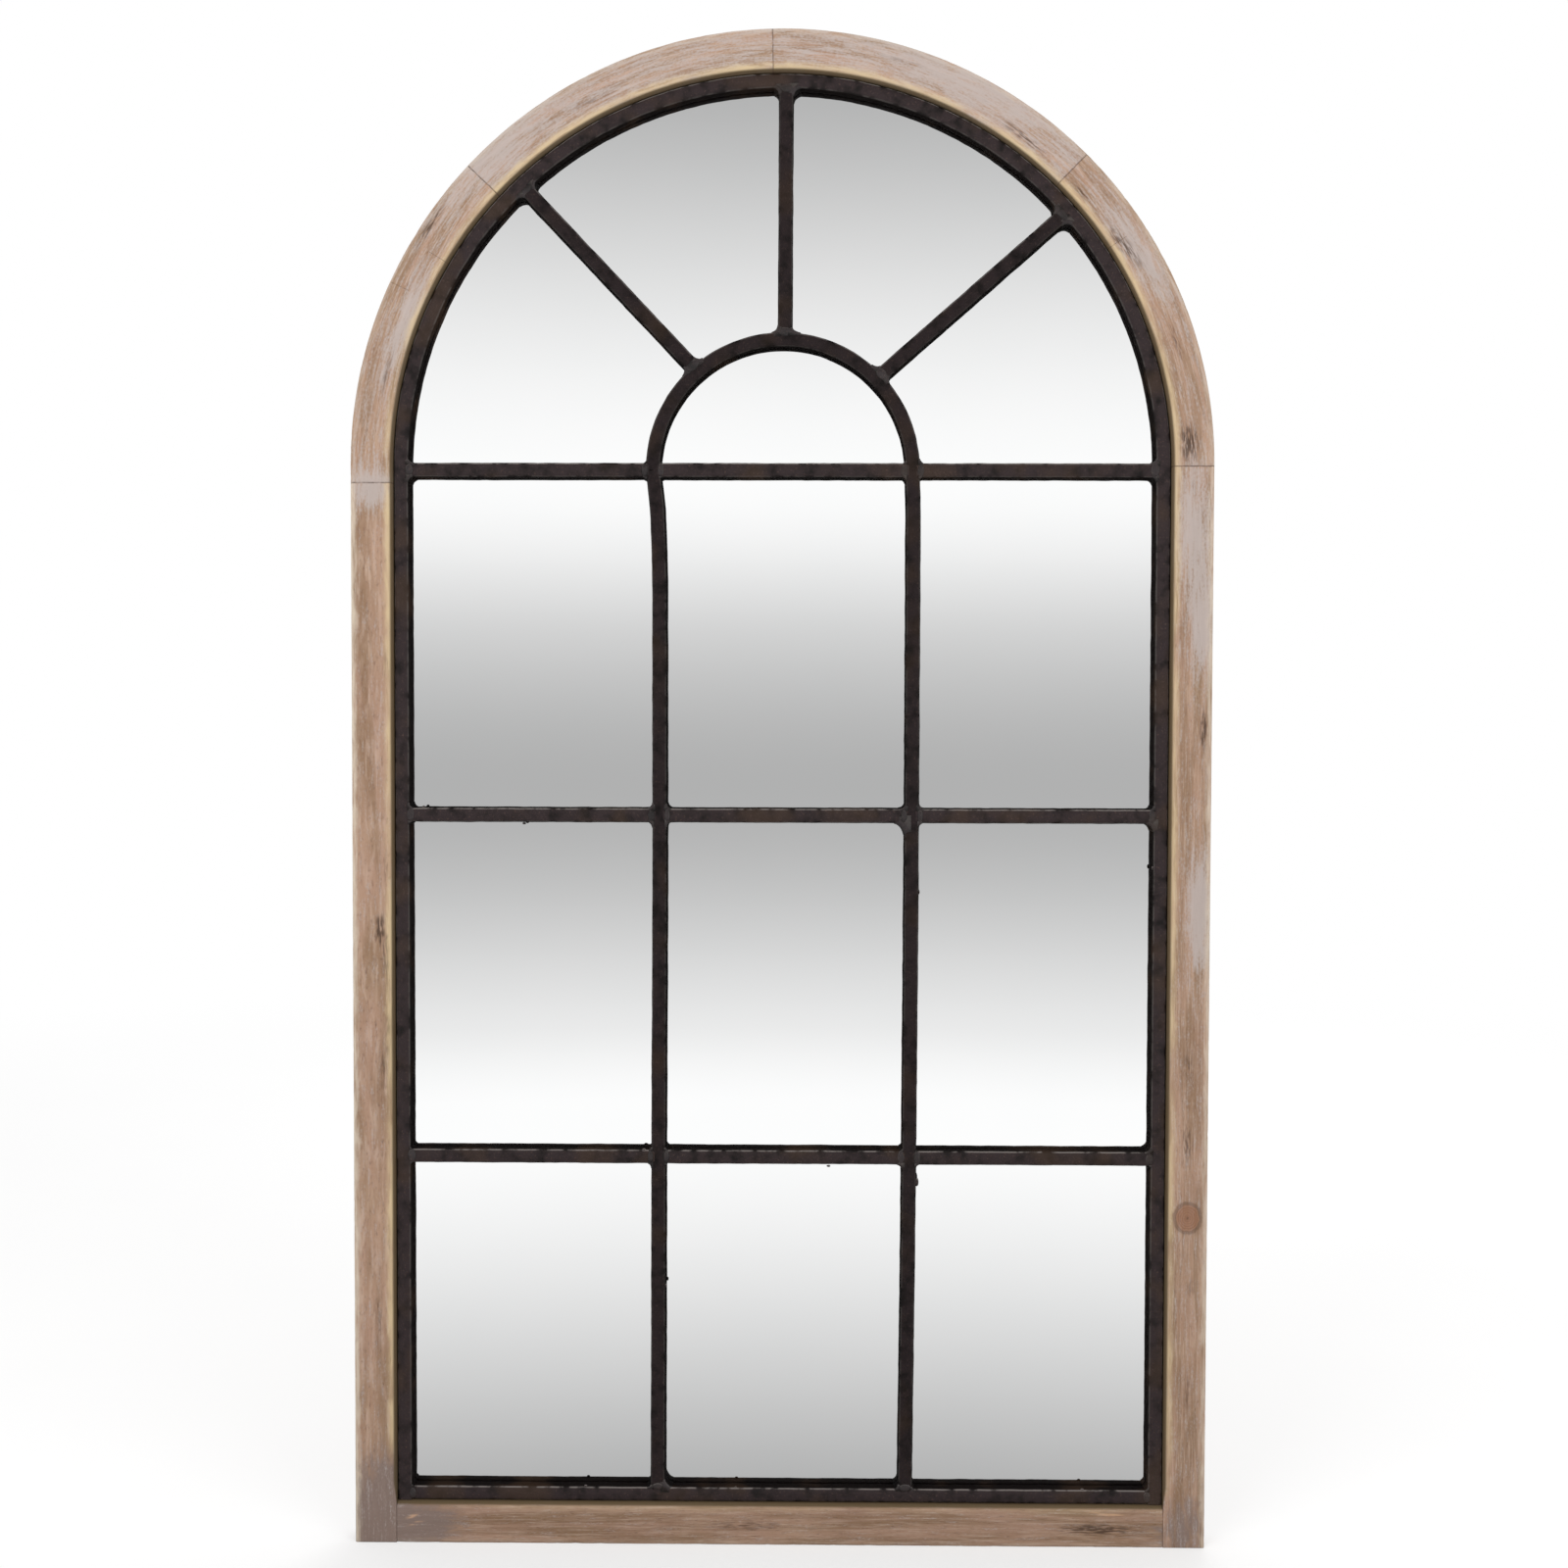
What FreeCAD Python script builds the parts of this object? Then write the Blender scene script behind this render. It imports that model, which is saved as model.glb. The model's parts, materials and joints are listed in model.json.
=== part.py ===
"""Arched window mirror, in millimetres.

A wooden surround of two stiles, a bottom rail and four arch segments, dowelled
together. A welded grille of square bar stands inside it: a bent hoop, a bottom
bar, two uprights, nine cross bars, an inner arch and three spokes. One sheet of
mirror glass lies behind the grille, held in by a backing board. The mirror
hangs from two D-rings on the back of the stiles.

X is the width, Z is up, and the front faces -Y. The origin is the middle of the
underside of the whole object's box.
"""
import FreeCAD
import Part
import math
import os

Vec = FreeCAD.Vector

# Wooden surround
overall_width = 700.0
spring_height = 886.0          # from the floor to the centre of the arch
wood_face = 34.0               # width of the wood seen from the front
wood_depth = 28.0              # front to back
inner_round = 5.0              # round-over along the opening
outer_ease = 1.2               # sanded-off outer edge of the front
left_joint_drop = 14.0         # the left arch segment runs on below the springline
arch_joint_angles = (45.5, 91.3, 136.5)   # degrees up from +X
joint_groove = 0.45            # eased line where two pieces of wood meet
dowel_diameter = 6.0
dowel_length = 32.0
front_dowel_in = 24.0          # from the outer edge to the front dowel
front_dowel_deep = 9.0         # from the front face to the front dowel
back_dowel_in = 9.0            # from the outer edge to the back dowel
back_dowel_deep = 20.0

# Grille of square bar
bar = 12.0
bar_edge = 1.4                 # eased front corners of the rolled bar
grille_recess = 4.0            # front of the grille, behind the front of the wood
grille_gap = 0.3               # between the grille and the opening
spring_bar_drop = 3.0          # middle of the top cross bars, below the springline
spoke_names = ("right", "centre", "left")
spoke_angles = (42.5, 90.0, 133.0)        # degrees up from +X
weld_leg = 4.5
weld_overrun = 1.0             # how far a bead is drawn into a bar before it is trimmed

# Tabs that hold the grille in the wood
tab_width = 20.0
tab_thickness = 2.0
tab_reach = 7.2                # out from the side of the bar
tab_setback = 1.0              # from the back of the grille
tab_gap = 0.3
tab_overlap = 1.0              # drawn into the curved bar by this much before it is trimmed
tab_screw_diameter = 3.0
tab_screw_head = 5.6
tab_screw_length = 10.0
tab_screw_in = 3.6             # from the side of the bar to the screw
leg_tab_heights = (200.0, 640.0)
arch_tab_angles = (22.5, 67.5, 113.0, 158.0)
rail_tab_offset = 150.0

# Mirror glass and backing board
glass_thickness = 3.0
glass_lap = 8.0                # rebate for the glass, out from the opening
glass_clearance = 1.5          # round the edge of the glass
board_thickness = 3.0
board_lap = 8.0                # rebate for the board, out from the glass rebate
board_clearance = 1.0
board_screw_diameter = 3.0
board_screw_head = 6.0
board_screw_head_height = 1.8
board_screw_length = 14.0
board_screw_heights = (120.0, 420.0, 720.0)
board_screw_angles = (11.0, 57.0, 80.0, 103.0, 125.0, 169.0)
board_screw_offsets = (-190.0, 190.0)

# Hangers on the back
hanger_drop = 86.0             # from the springline down to the ring's axis
strap_width = 9.0
strap_thickness = 1.2
strap_length = 40.0
strap_corner = 2.0
ring_wire = 2.4
ring_fit = 0.05                # radial running fit of the ring in the strap's curl
ring_lift = 0.35               # the hanging ring stands this far off the strap
ring_side_play = 0.4           # between the curl and the ring's corners, each side
ring_bend = 1.0                # how far the ring's two top corners are cut off
ring_arm = 4.0                 # from the axis to the start of the bow
ring_bow_steps = 8             # bends that make up the bow
ring_sides = 8                 # flats round the wire
curl_sides = 16                # flats round the strap's curl
hanger_screw_diameter = 3.0
hanger_screw_head = 5.6
hanger_screw_head_height = 1.8
hanger_screw_length = 14.0
hanger_screw_drops = (19.0, 33.0)
bumper_diameter = 11.0
bumper_height = 3.5
bumper_sides = 12
bumper_from_floor = 14.0

# General
turned_sides = 8               # flats round a screw or a fluted dowel
pilot_clearance = 0.05         # radial, round screws and dowels
drill_overrun = 1.0            # cutters start this far outside a face
hole_tail = 0.6                # a blind hole is this much deeper than its screw
pick_margin = 1.0              # slack round a border when edges are picked by their place

# Worked out
half_width = overall_width / 2
opening_half = half_width - wood_face
glass_rebate_half = opening_half + glass_lap
board_rebate_half = glass_rebate_half + board_lap
land = wood_face - glass_lap - board_lap
land_centre = half_width - land / 2
glass_front = grille_recess + bar
glass_back = glass_front + glass_thickness
board_back = glass_back + board_thickness
grille_half = opening_half - grille_gap
grille_inner = grille_half - bar
grille_foot = wood_face + grille_gap
spring_bar_z = spring_height - spring_bar_drop
pane_width = (2 * grille_inner - 2 * bar) / 3
upright_x = (pane_width + bar) / 2
pane_top = spring_bar_z - bar / 2
pane_foot = grille_foot + bar
pane_height = (pane_top - pane_foot - 2 * bar) / 3
curl_inner = ring_wire / 2 + ring_fit
curl_outer = curl_inner + strap_thickness
ring_axis_out = strap_thickness + ring_lift + ring_wire / 2
hanger_out = ring_axis_out + curl_outer
front_y = -(wood_depth + hanger_out) / 2
back_y = front_y + wood_depth


def y_at(depth):
    """Y of a plane this deep behind the front face of the wood."""
    return front_y + depth


def block(x0, x1, z0, z1, d0, d1):
    """A box between two depths."""
    return Part.makeBox(x1 - x0, d1 - d0, z1 - z0, Vec(x0, y_at(d0), z0))


def polar(radius, angle):
    """Point on a circle about the arch centre, as x and z."""
    turn = math.radians(angle)
    return radius * math.cos(turn), spring_height + radius * math.sin(turn)


def prism(wire_edges, d0, d1):
    """Extrude a closed outline, drawn at y = 0, between two depths."""
    face = Part.Face(Part.Wire(wire_edges))
    solid = face.extrude(Vec(0, d1 - d0, 0))
    solid.translate(Vec(0, y_at(d0), 0))
    return solid


def arched_prism(half, foot, d0, d1):
    """The outline of the mirror: straight sides under a half circle."""
    left_foot = Vec(-half, 0, foot)
    right_foot = Vec(half, 0, foot)
    left_spring = Vec(-half, 0, spring_height)
    right_spring = Vec(half, 0, spring_height)
    crown = Vec(0, 0, spring_height + half)
    edges = [
        Part.LineSegment(left_foot, left_spring).toShape(),
        Part.Arc(left_spring, crown, right_spring).toShape(),
        Part.LineSegment(right_spring, right_foot).toShape(),
        Part.LineSegment(right_foot, left_foot).toShape(),
    ]
    return prism(edges, d0, d1)


def edges_in_plane(shape, depth, wanted):
    """Edges that lie at one depth and whose middle passes the test wanted(x, z)."""
    found = []
    for edge in shape.Edges:
        first, last = edge.ParameterRange
        middle = edge.valueAt((first + last) / 2)
        points = [middle, edge.valueAt(first), edge.valueAt(last)]
        flat = all(abs(point.y - y_at(depth)) < 0.001 for point in points)
        if flat and wanted(middle.x, middle.z):
            found.append(edge)
    return found


def ease_bar(shape, wanted=lambda x, z: True):
    """Ease the long front edges of a bar; its back lies flat on the glass."""
    return shape.makeChamfer(bar_edge, edges_in_plane(shape, grille_recess, wanted))


def ring_of_points(radius, sides, height):
    """Corners of a regular outline on a circle, at a height along Z."""
    points = []
    for index in range(sides):
        turn = 2 * math.pi * index / sides
        points.append(Vec(radius * math.cos(turn), radius * math.sin(turn), height))
    return points


def flat_face(corners):
    """A plane face between corners."""
    return Part.Face(Part.makePolygon(corners + corners[:1]))


def tapered(radius_0, radius_1, height_0, height_1, sides=turned_sides):
    """A many-sided prism or frustum along Z, all of flat faces."""
    low = ring_of_points(radius_0, sides, height_0)
    high = ring_of_points(radius_1, sides, height_1)
    faces = [flat_face(low), flat_face(high)]
    for index in range(sides):
        after = (index + 1) % sides
        faces.append(flat_face([low[index], low[after], high[after], high[index]]))
    solid = Part.makeSolid(Part.makeShell(faces))
    if solid.Volume < 0:
        solid.reverse()
    return solid


def placed(solid, base, direction):
    """Stand a solid that was made along Z at a point, along a direction."""
    solid.Placement = FreeCAD.Placement(base, FreeCAD.Rotation(Vec(0, 0, 1), direction))
    return solid


def around(radius, sides=turned_sides):
    """Corner radius of an outline whose flats clear a turned piece of this radius."""
    return (radius + pilot_clearance) / math.cos(math.pi / sides)


def drill(base, direction, diameter, length):
    """A hole cutter that starts a little outside the face at base."""
    radius = around(diameter / 2)
    return placed(tapered(radius, radius, -drill_overrun, length), base, direction)


def pan_screw(seat, direction, diameter, length, head, head_height):
    """A screw whose domed head bears on seat."""
    radius = diameter / 2
    shank = tapered(radius, radius, 0, length)
    dome = tapered(head / 2, 0.32 * head, 0, -head_height)
    return placed(shank.fuse(dome), seat, direction)


def flat_screw(seat, direction, radius, length, head_radius):
    """A countersunk screw, flush with seat."""
    sink = head_radius - radius
    shank = tapered(radius, radius, sink, length)
    cone = tapered(head_radius, radius, 0, sink)
    return placed(shank.fuse(cone), seat, direction)


# ---------------------------------------------------------------- wood


def frame_blank():
    """The whole surround in one, with eased edges and both rebates."""
    blank = arched_prism(half_width, 0, 0, wood_depth)
    blank = blank.cut(arched_prism(opening_half, wood_face, -drill_overrun, wood_depth + drill_overrun))

    def on_opening(x, z):
        inside = abs(x) < opening_half + pick_margin and z > wood_face - pick_margin
        return inside and math.hypot(x, max(z - spring_height, 0)) < opening_half + pick_margin

    def on_outside(x, z):
        return not on_opening(x, z) and z > pick_margin

    blank = blank.makeFillet(inner_round, edges_in_plane(blank, 0, on_opening))
    blank = blank.makeChamfer(outer_ease, edges_in_plane(blank, 0, on_outside))
    glass_foot = wood_face - glass_lap
    board_foot = glass_foot - board_lap
    past_back = wood_depth + drill_overrun
    blank = blank.cut(arched_prism(glass_rebate_half, glass_foot, glass_front, past_back))
    return blank.cut(arched_prism(board_rebate_half, board_foot, glass_back, past_back))


def groove(x0, z0, x1, z1):
    """Cutter for the eased line over a joint, drawn along the front face."""
    along = Vec(x1 - x0, 0, z1 - z0)
    across = Vec(-along.z, 0, along.x).normalize() * joint_groove
    start = Vec(x0, y_at(0), z0)
    out = Vec(0, -joint_groove, 0)
    corners = [start - across * 2 + out, start + across * 2 + out, start - out]
    return flat_face(corners).extrude(along)


def wood_joints():
    """Each joint line as (outer x, outer z, inner x, inner z, direction of its dowels)."""
    left_z = spring_height - left_joint_drop
    joints = {
        "left_corner": (-opening_half, 0, -opening_half, wood_face, Vec(1, 0, 0)),
        "right_corner": (opening_half, 0, opening_half, wood_face, Vec(1, 0, 0)),
        "left_spring": (-half_width, left_z, -opening_half, left_z, Vec(0, 0, 1)),
        "right_spring": (half_width, spring_height, opening_half, spring_height, Vec(0, 0, 1)),
    }
    for angle in arch_joint_angles:
        turn = math.radians(angle)
        tangent = Vec(-math.sin(turn), 0, math.cos(turn))
        line = polar(half_width, angle) + polar(opening_half, angle)
        joints["arch_%d" % round(angle)] = line + (tangent,)
    return joints


def dowels_at(joint, radius, length):
    """The two dowels of a joint, or their holes."""
    outer_x, outer_z, inner_x, inner_z, along = joint
    inward = Vec(inner_x - outer_x, 0, inner_z - outer_z).normalize()
    solids = []
    for step_in, deep in ((front_dowel_in, front_dowel_deep), (back_dowel_in, back_dowel_deep)):
        middle = Vec(outer_x, y_at(deep), outer_z) + inward * step_in
        solids.append(placed(tapered(radius, radius, 0, length), middle - along * (length / 2), along))
    return solids


def sector(from_angle, to_angle):
    """A wedge about the arch centre, wider than the wood."""
    reach = overall_width
    points = [Vec(0, 0, spring_height)]
    for angle in (from_angle, (from_angle + to_angle) / 2, to_angle):
        x, z = polar(reach, angle)
        points.append(Vec(x, 0, z))
    edges = []
    for start, end in zip(points, points[1:] + points[:1]):
        edges.append(Part.LineSegment(start, end).toShape())
    return prism(edges, -drill_overrun, wood_depth + drill_overrun)


def wooden_pieces(cutters):
    """Cut the blank into the pieces that the surround is joined from."""
    blank = frame_blank().cut(cutters)
    past = half_width + drill_overrun
    d0 = -drill_overrun
    d1 = wood_depth + drill_overrun
    left_top = spring_height - left_joint_drop
    first, second, third = arch_joint_angles
    tail = block(-past, 0, left_top, spring_height, d0, d1)
    regions = {
        "left_stile": block(-past, -opening_half, 0, left_top, d0, d1),
        "right_stile": block(opening_half, past, 0, spring_height, d0, d1),
        "bottom_rail": block(-opening_half, opening_half, 0, wood_face, d0, d1),
        "arch_right_lower": sector(0, first),
        "arch_right_upper": sector(first, second),
        "arch_left_upper": sector(second, third),
        "arch_left_lower": sector(third, 180).fuse(tail).removeSplitter(),
    }
    pieces = {}
    for name, region in regions.items():
        pieces[name] = blank.common(region).removeSplitter()
    return pieces


# ---------------------------------------------------------------- grille


def straight_bar(x0, x1, z0, z1):
    """A length of bar between two corners, long edges eased."""
    solid = block(x0, x1, z0, z1, grille_recess, glass_front)
    if x1 - x0 > z1 - z0:
        return ease_bar(solid, lambda x, z: abs(x - (x0 + x1) / 2) < 0.001)
    return ease_bar(solid, lambda x, z: abs(z - (z0 + z1) / 2) < 0.001)


def hoop():
    """The outer bar, bent round the arch, with its legs down to the rail."""
    outside = arched_prism(grille_half, grille_foot, grille_recess, glass_front)
    inside = arched_prism(grille_inner, 0, grille_recess, glass_front)
    return ease_bar(outside.cut(inside), lambda x, z: z > grille_foot + pick_margin)


def disc(radius):
    """A disc about the middle of the top cross bars, as thick as the grille."""
    centre = Vec(0, y_at(grille_recess), spring_bar_z)
    return Part.makeCylinder(radius, bar, centre, Vec(0, 1, 0))


def inner_arch():
    """The small bent arch that stands on the two uprights."""
    ring = disc(upright_x + bar / 2).cut(disc(upright_x - bar / 2))
    above = block(-overall_width, overall_width, spring_bar_z, 2 * spring_height, 0, wood_depth)
    return ease_bar(ring.common(above), lambda x, z: z > spring_bar_z + pick_margin)


def spoke(angle, outer_bar, arch_bar):
    """A radial bar, coped at both ends to the curved bars that it meets."""
    length = grille_half - upright_x
    solid = block(upright_x, upright_x + length, -bar / 2, bar / 2, grille_recess, glass_front)
    solid = ease_bar(solid, lambda x, z: abs(x - upright_x - length / 2) < 0.001)
    solid.rotate(Vec(0, 0, 0), Vec(0, 1, 0), -angle)
    solid.translate(Vec(0, 0, spring_bar_z))
    trimmed = solid.cut([outer_bar, arch_bar])
    return max(trimmed.Solids, key=lambda part: part.Volume)


def grille_bars():
    """Every bar of the grille, by name."""
    bars = {"grille_hoop": hoop()}
    bars["grille_bottom_bar"] = straight_bar(-grille_inner, grille_inner, grille_foot, pane_foot)
    bars["inner_arch"] = inner_arch()
    for side, sign in (("left", -1), ("right", 1)):
        x = sign * upright_x
        bars[side + "_upright"] = straight_bar(x - bar / 2, x + bar / 2, pane_foot, spring_bar_z)
    for row in range(3):
        top = spring_bar_z + bar / 2 - row * (pane_height + bar)
        row_name = ("top", "middle", "lower")[row]
        for column in range(3):
            x0 = -grille_inner + column * (pane_width + bar)
            piece = straight_bar(x0, x0 + pane_width, top - bar, top)
            name = "%s_cross_bar_%s" % (row_name, ("left", "centre", "right")[column])
            bars[name] = piece.cut(bars["grille_hoop"])
    for name, angle in zip(spoke_names, spoke_angles):
        bars[name + "_spoke"] = spoke(angle, bars["grille_hoop"], bars["inner_arch"])
    return bars


def bead(x, z, u, v, bars):
    """A hollow weld bead in the corner at x, z, between the directions u and v."""
    corner = Vec(x, 0, z)
    along_u = Vec(u[0], 0, u[1])
    along_v = Vec(v[0], 0, v[1])
    start = corner + along_u * weld_leg
    end = corner + along_v * weld_leg
    under_u = start - along_v * weld_overrun
    under_v = end - along_u * weld_overrun
    inside = corner - (along_u + along_v) * weld_overrun
    hollow = corner + (along_u + along_v) * weld_leg * (1 - math.sqrt(0.5))
    outline = Part.makePolygon([inside, under_u, start, hollow, end, under_v, inside])
    solid = prism(outline.Edges, grille_recess + bar_edge, glass_front)
    near = [piece for piece in bars if piece.BoundBox.intersect(solid.BoundBox)]
    return max(solid.cut(near).Solids, key=lambda part: part.Volume)


def crossing_corners():
    """Corners where the cross bars meet the uprights."""
    corners = []
    for row in range(3):
        top = spring_bar_z + bar / 2 - row * (pane_height + bar)
        for side in (-1, 1):
            for face in (-1, 1):
                x = side * upright_x + face * bar / 2
                corners.append((x, top, (face, 0), (0, 1)))
                corners.append((x, top - bar, (face, 0), (0, -1)))
    return corners


def outer_corners():
    """Corners along the hoop's legs and the bottom bar."""
    corners = []
    for side in (-1, 1):
        corners.append((side * grille_inner, pane_foot, (-side, 0), (0, 1)))
        for face in (-1, 1):
            corners.append((side * upright_x + face * bar / 2, pane_foot, (face, 0), (0, 1)))
        for row in range(3):
            top = spring_bar_z + bar / 2 - row * (pane_height + bar)
            corners.append((side * grille_inner, top, (-side, 0), (0, 1)))
            corners.append((side * grille_inner, top - bar, (-side, 0), (0, -1)))
    return corners


def fan_corners():
    """Corners at both ends of the three spokes."""
    corners = []
    centre_gap = spring_height - spring_bar_z
    for angle in spoke_angles:
        turn = math.radians(angle)
        radial = (math.cos(turn), math.sin(turn))
        for face in (-1, 1):
            side = (-face * radial[1], face * radial[0])
            reach_in = math.sqrt((upright_x + bar / 2) ** 2 - bar**2 / 4)
            rise = centre_gap * radial[1]
            slant = centre_gap * radial[0] - face * bar / 2
            reach_out = rise + math.sqrt(grille_inner**2 - slant**2)
            for reach, way in ((reach_in, 1), (reach_out, -1)):
                x = reach * radial[0] + side[0] * bar / 2
                z = spring_bar_z + reach * radial[1] + side[1] * bar / 2
                corners.append((x, z, (way * radial[0], way * radial[1]), side))
    return corners


def welds(corners, bars):
    """Beads in a list of corners, each trimmed to the bars."""
    return [bead(x, z, u, v, bars) for x, z, u, v in corners]


# ---------------------------------------------------------------- grille fixings


def tab_places():
    """Middle of each tab on the side of the bar, and the direction out from it."""
    places = []
    for side in (-1, 1):
        for height in leg_tab_heights:
            places.append((side * grille_half, height, Vec(side, 0, 0)))
        places.append((side * rail_tab_offset, grille_foot, Vec(0, 0, -1)))
    for angle in arch_tab_angles:
        x, z = polar(grille_half, angle)
        places.append((x, z, Vec(x, 0, z - spring_height).normalize()))
    return places


def tab_plate(x, z, out, inner, reach, side_gap, d0, d1):
    """A flat plate that stands out from the side of the bar."""
    across = Vec(-out.z, 0, out.x) * (tab_width / 2 + side_gap)
    foot = Vec(x, 0, z) + out * inner
    tip = Vec(x, 0, z) + out * reach
    corners = [foot - across, foot + across, tip + across, tip - across]
    edges = []
    for start, end in zip(corners, corners[1:] + corners[:1]):
        edges.append(Part.LineSegment(start, end).toShape())
    return prism(edges, d0, d1)


def tabs_and_screws(bars):
    """Tabs, their screws, and what they cut out of the wood."""
    tabs = []
    screws = []
    cutters = []
    tab_back = glass_front - tab_setback
    forward = Vec(0, -1, 0)
    for x, z, out in tab_places():
        plate = tab_plate(x, z, out, -tab_overlap, tab_reach, 0, tab_back - tab_thickness, tab_back)
        seat = Vec(x, y_at(tab_back), z) + out * tab_screw_in
        shank_radius = tab_screw_diameter / 2
        head_radius = tab_screw_head / 2
        screw = flat_screw(seat, forward, shank_radius, tab_screw_length, head_radius)
        sink = flat_screw(seat, forward, around(shank_radius), tab_screw_length, around(head_radius))
        plate = plate.cut([bars["grille_hoop"], bars["grille_bottom_bar"], sink])
        tabs.append(max(plate.Solids, key=lambda part: part.Volume))
        screws.append(screw)
        pocket_front = tab_back - tab_thickness
        pocket_back = glass_front + drill_overrun
        pocket = tab_plate(x, z, out, 0, tab_reach + tab_gap, tab_gap, pocket_front, pocket_back)
        cutters.append(pocket)
        cutters.append(drill(seat, forward, tab_screw_diameter, tab_screw_length + hole_tail))
    return tabs, screws, cutters


# ---------------------------------------------------------------- glass and board


def board_screw_places():
    """Seats of the screws on the back of the board, in the middle of its rebate."""
    half = glass_rebate_half + board_lap / 2
    places = []
    for side in (-1, 1):
        for height in board_screw_heights:
            places.append((side * half, height))
    for angle in board_screw_angles:
        places.append(polar(half, angle))
    for x in board_screw_offsets:
        places.append((x, wood_face - glass_lap - board_lap / 2))
    return [Vec(x, y_at(board_back), z) for x, z in places]


def board_and_screws():
    """The backing board, its screws and their holes in the wood."""
    half = board_rebate_half - board_clearance
    foot = wood_face - glass_lap - board_lap + board_clearance
    board = arched_prism(half, foot, glass_back, board_back)
    forward = Vec(0, -1, 0)
    screws = []
    holes = []
    for seat in board_screw_places():
        screws.append(
            pan_screw(
                seat,
                forward,
                board_screw_diameter,
                board_screw_length,
                board_screw_head,
                board_screw_head_height,
            )
        )
        holes.append(drill(seat, forward, board_screw_diameter, board_screw_length + hole_tail))
    return board.cut(holes), screws, holes


# ---------------------------------------------------------------- hangers


def ring_axis(side):
    """Middle of the hanger's hinge axis, behind the stile."""
    return Vec(side * land_centre, back_y + ring_axis_out, spring_height - hanger_drop)


def hanger_strap(side, holes):
    """A steel strap whose top end is curled round the ring."""
    axis = ring_axis(side)
    half = strap_width / 2
    plate = Part.makeBox(
        strap_width,
        strap_thickness,
        strap_length,
        Vec(axis.x - half, back_y, axis.z - strap_length),
    )
    foot_edges = []
    for edge in plate.Edges:
        middle = edge.CenterOfMass
        at_foot = abs(middle.z - (axis.z - strap_length)) < 0.001
        if at_foot and abs(middle.y - back_y - strap_thickness / 2) < 0.001:
            foot_edges.append(edge)
    plate = plate.makeChamfer(strap_corner, foot_edges)
    start = Vec(axis.x - half, axis.y, axis.z)
    across = Vec(1, 0, 0)
    curl = placed(tapered(curl_outer, curl_outer, 0, strap_width, curl_sides), start, across)
    over = Vec(drill_overrun, 0, 0)
    bore = Part.makeCylinder(curl_inner, strap_width + 2 * drill_overrun, start - over, across)
    strap = plate.fuse(curl).removeSplitter().cut(bore)
    return strap.cut(holes)


def d_ring(side):
    """A bent wire ring, hanging straight down from its axis."""
    axis = ring_axis(side)
    straight = strap_width / 2 + ring_side_play + ring_wire / 2
    half = straight + ring_bend
    path = [axis, axis + Vec(straight, 0, 0), axis + Vec(half, 0, -ring_bend)]
    for step in range(ring_bow_steps + 1):
        turn = math.pi * step / ring_bow_steps
        path.append(axis + Vec(half * math.cos(turn), 0, -ring_arm - half * math.sin(turn)))
    path += [axis - Vec(half, 0, ring_bend), axis - Vec(straight, 0, 0), axis]
    corners = ring_of_points(ring_wire / 2, ring_sides, 0)
    section = placed(Part.makePolygon(corners + corners[:1]), axis, Vec(1, 0, 0))
    return Part.makePolygon(path).makePipeShell([section], True, False, 1)


def hangers():
    """Straps, rings, their screws, bumpers, and the holes in the stiles."""
    nodes = {}
    screws = []
    holes = []
    bumpers = []
    forward = Vec(0, -1, 0)
    for name, side in (("left", -1), ("right", 1)):
        axis = ring_axis(side)
        side_holes = []
        for drop in hanger_screw_drops:
            seat = Vec(axis.x, back_y + strap_thickness, axis.z - drop)
            screws.append(
                pan_screw(
                    seat,
                    forward,
                    hanger_screw_diameter,
                    hanger_screw_length,
                    hanger_screw_head,
                    hanger_screw_head_height,
                )
            )
            side_holes.append(
                drill(seat, forward, hanger_screw_diameter, hanger_screw_length + hole_tail)
            )
        nodes[name + "_hanger_strap"] = hanger_strap(side, side_holes)
        nodes[name + "_d_ring"] = d_ring(side)
        holes += side_holes
        foot = Vec(axis.x, back_y, bumper_from_floor)
        dome = tapered(bumper_diameter / 2, 0.36 * bumper_diameter, 0, bumper_height, bumper_sides)
        bumpers.append(placed(dome, foot, Vec(0, 1, 0)))
    nodes["hanger_screws"] = screws
    nodes["wall_bumpers"] = bumpers
    return nodes, holes


# ---------------------------------------------------------------- all pieces


def build():
    """Every node, as one solid or a list of solids."""
    nodes = {}
    bars = grille_bars()
    all_bars = list(bars.values())
    tabs, tab_screws, tab_cutters = tabs_and_screws(bars)
    board, board_screws, board_holes = board_and_screws()
    hanger_nodes, hanger_holes = hangers()

    dowel_radius = dowel_diameter / 2
    dowels = {}
    dowel_holes = []
    grooves = []
    for name, joint in wood_joints().items():
        dowels[name] = dowels_at(joint, dowel_radius, dowel_length)
        hole_length = dowel_length + 2 * hole_tail
        dowel_holes += dowels_at(joint, around(dowel_radius), hole_length)
        grooves.append(groove(*joint[:4]))

    cutters = tab_cutters + board_holes + hanger_holes + dowel_holes + grooves
    nodes.update(wooden_pieces(cutters))
    corner_names = ("left_corner", "right_corner")
    nodes["corner_dowels"] = [solid for name in corner_names for solid in dowels[name]]
    nodes["arch_dowels"] = [
        solid for name, pair in dowels.items() if name not in corner_names for solid in pair
    ]
    nodes.update(bars)
    nodes["crossing_welds"] = welds(crossing_corners(), all_bars)
    nodes["perimeter_welds"] = welds(outer_corners(), all_bars)
    nodes["fan_welds"] = welds(fan_corners(), all_bars)
    nodes["grille_tabs"] = tabs
    nodes["grille_tab_screws"] = tab_screws
    glass_half = glass_rebate_half - glass_clearance
    glass_foot = wood_face - glass_lap + glass_clearance
    nodes["mirror_glass"] = arched_prism(glass_half, glass_foot, glass_front, glass_back)
    nodes["backing_board"] = board
    nodes["backing_screws"] = board_screws
    nodes.update(hanger_nodes)
    return nodes


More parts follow.
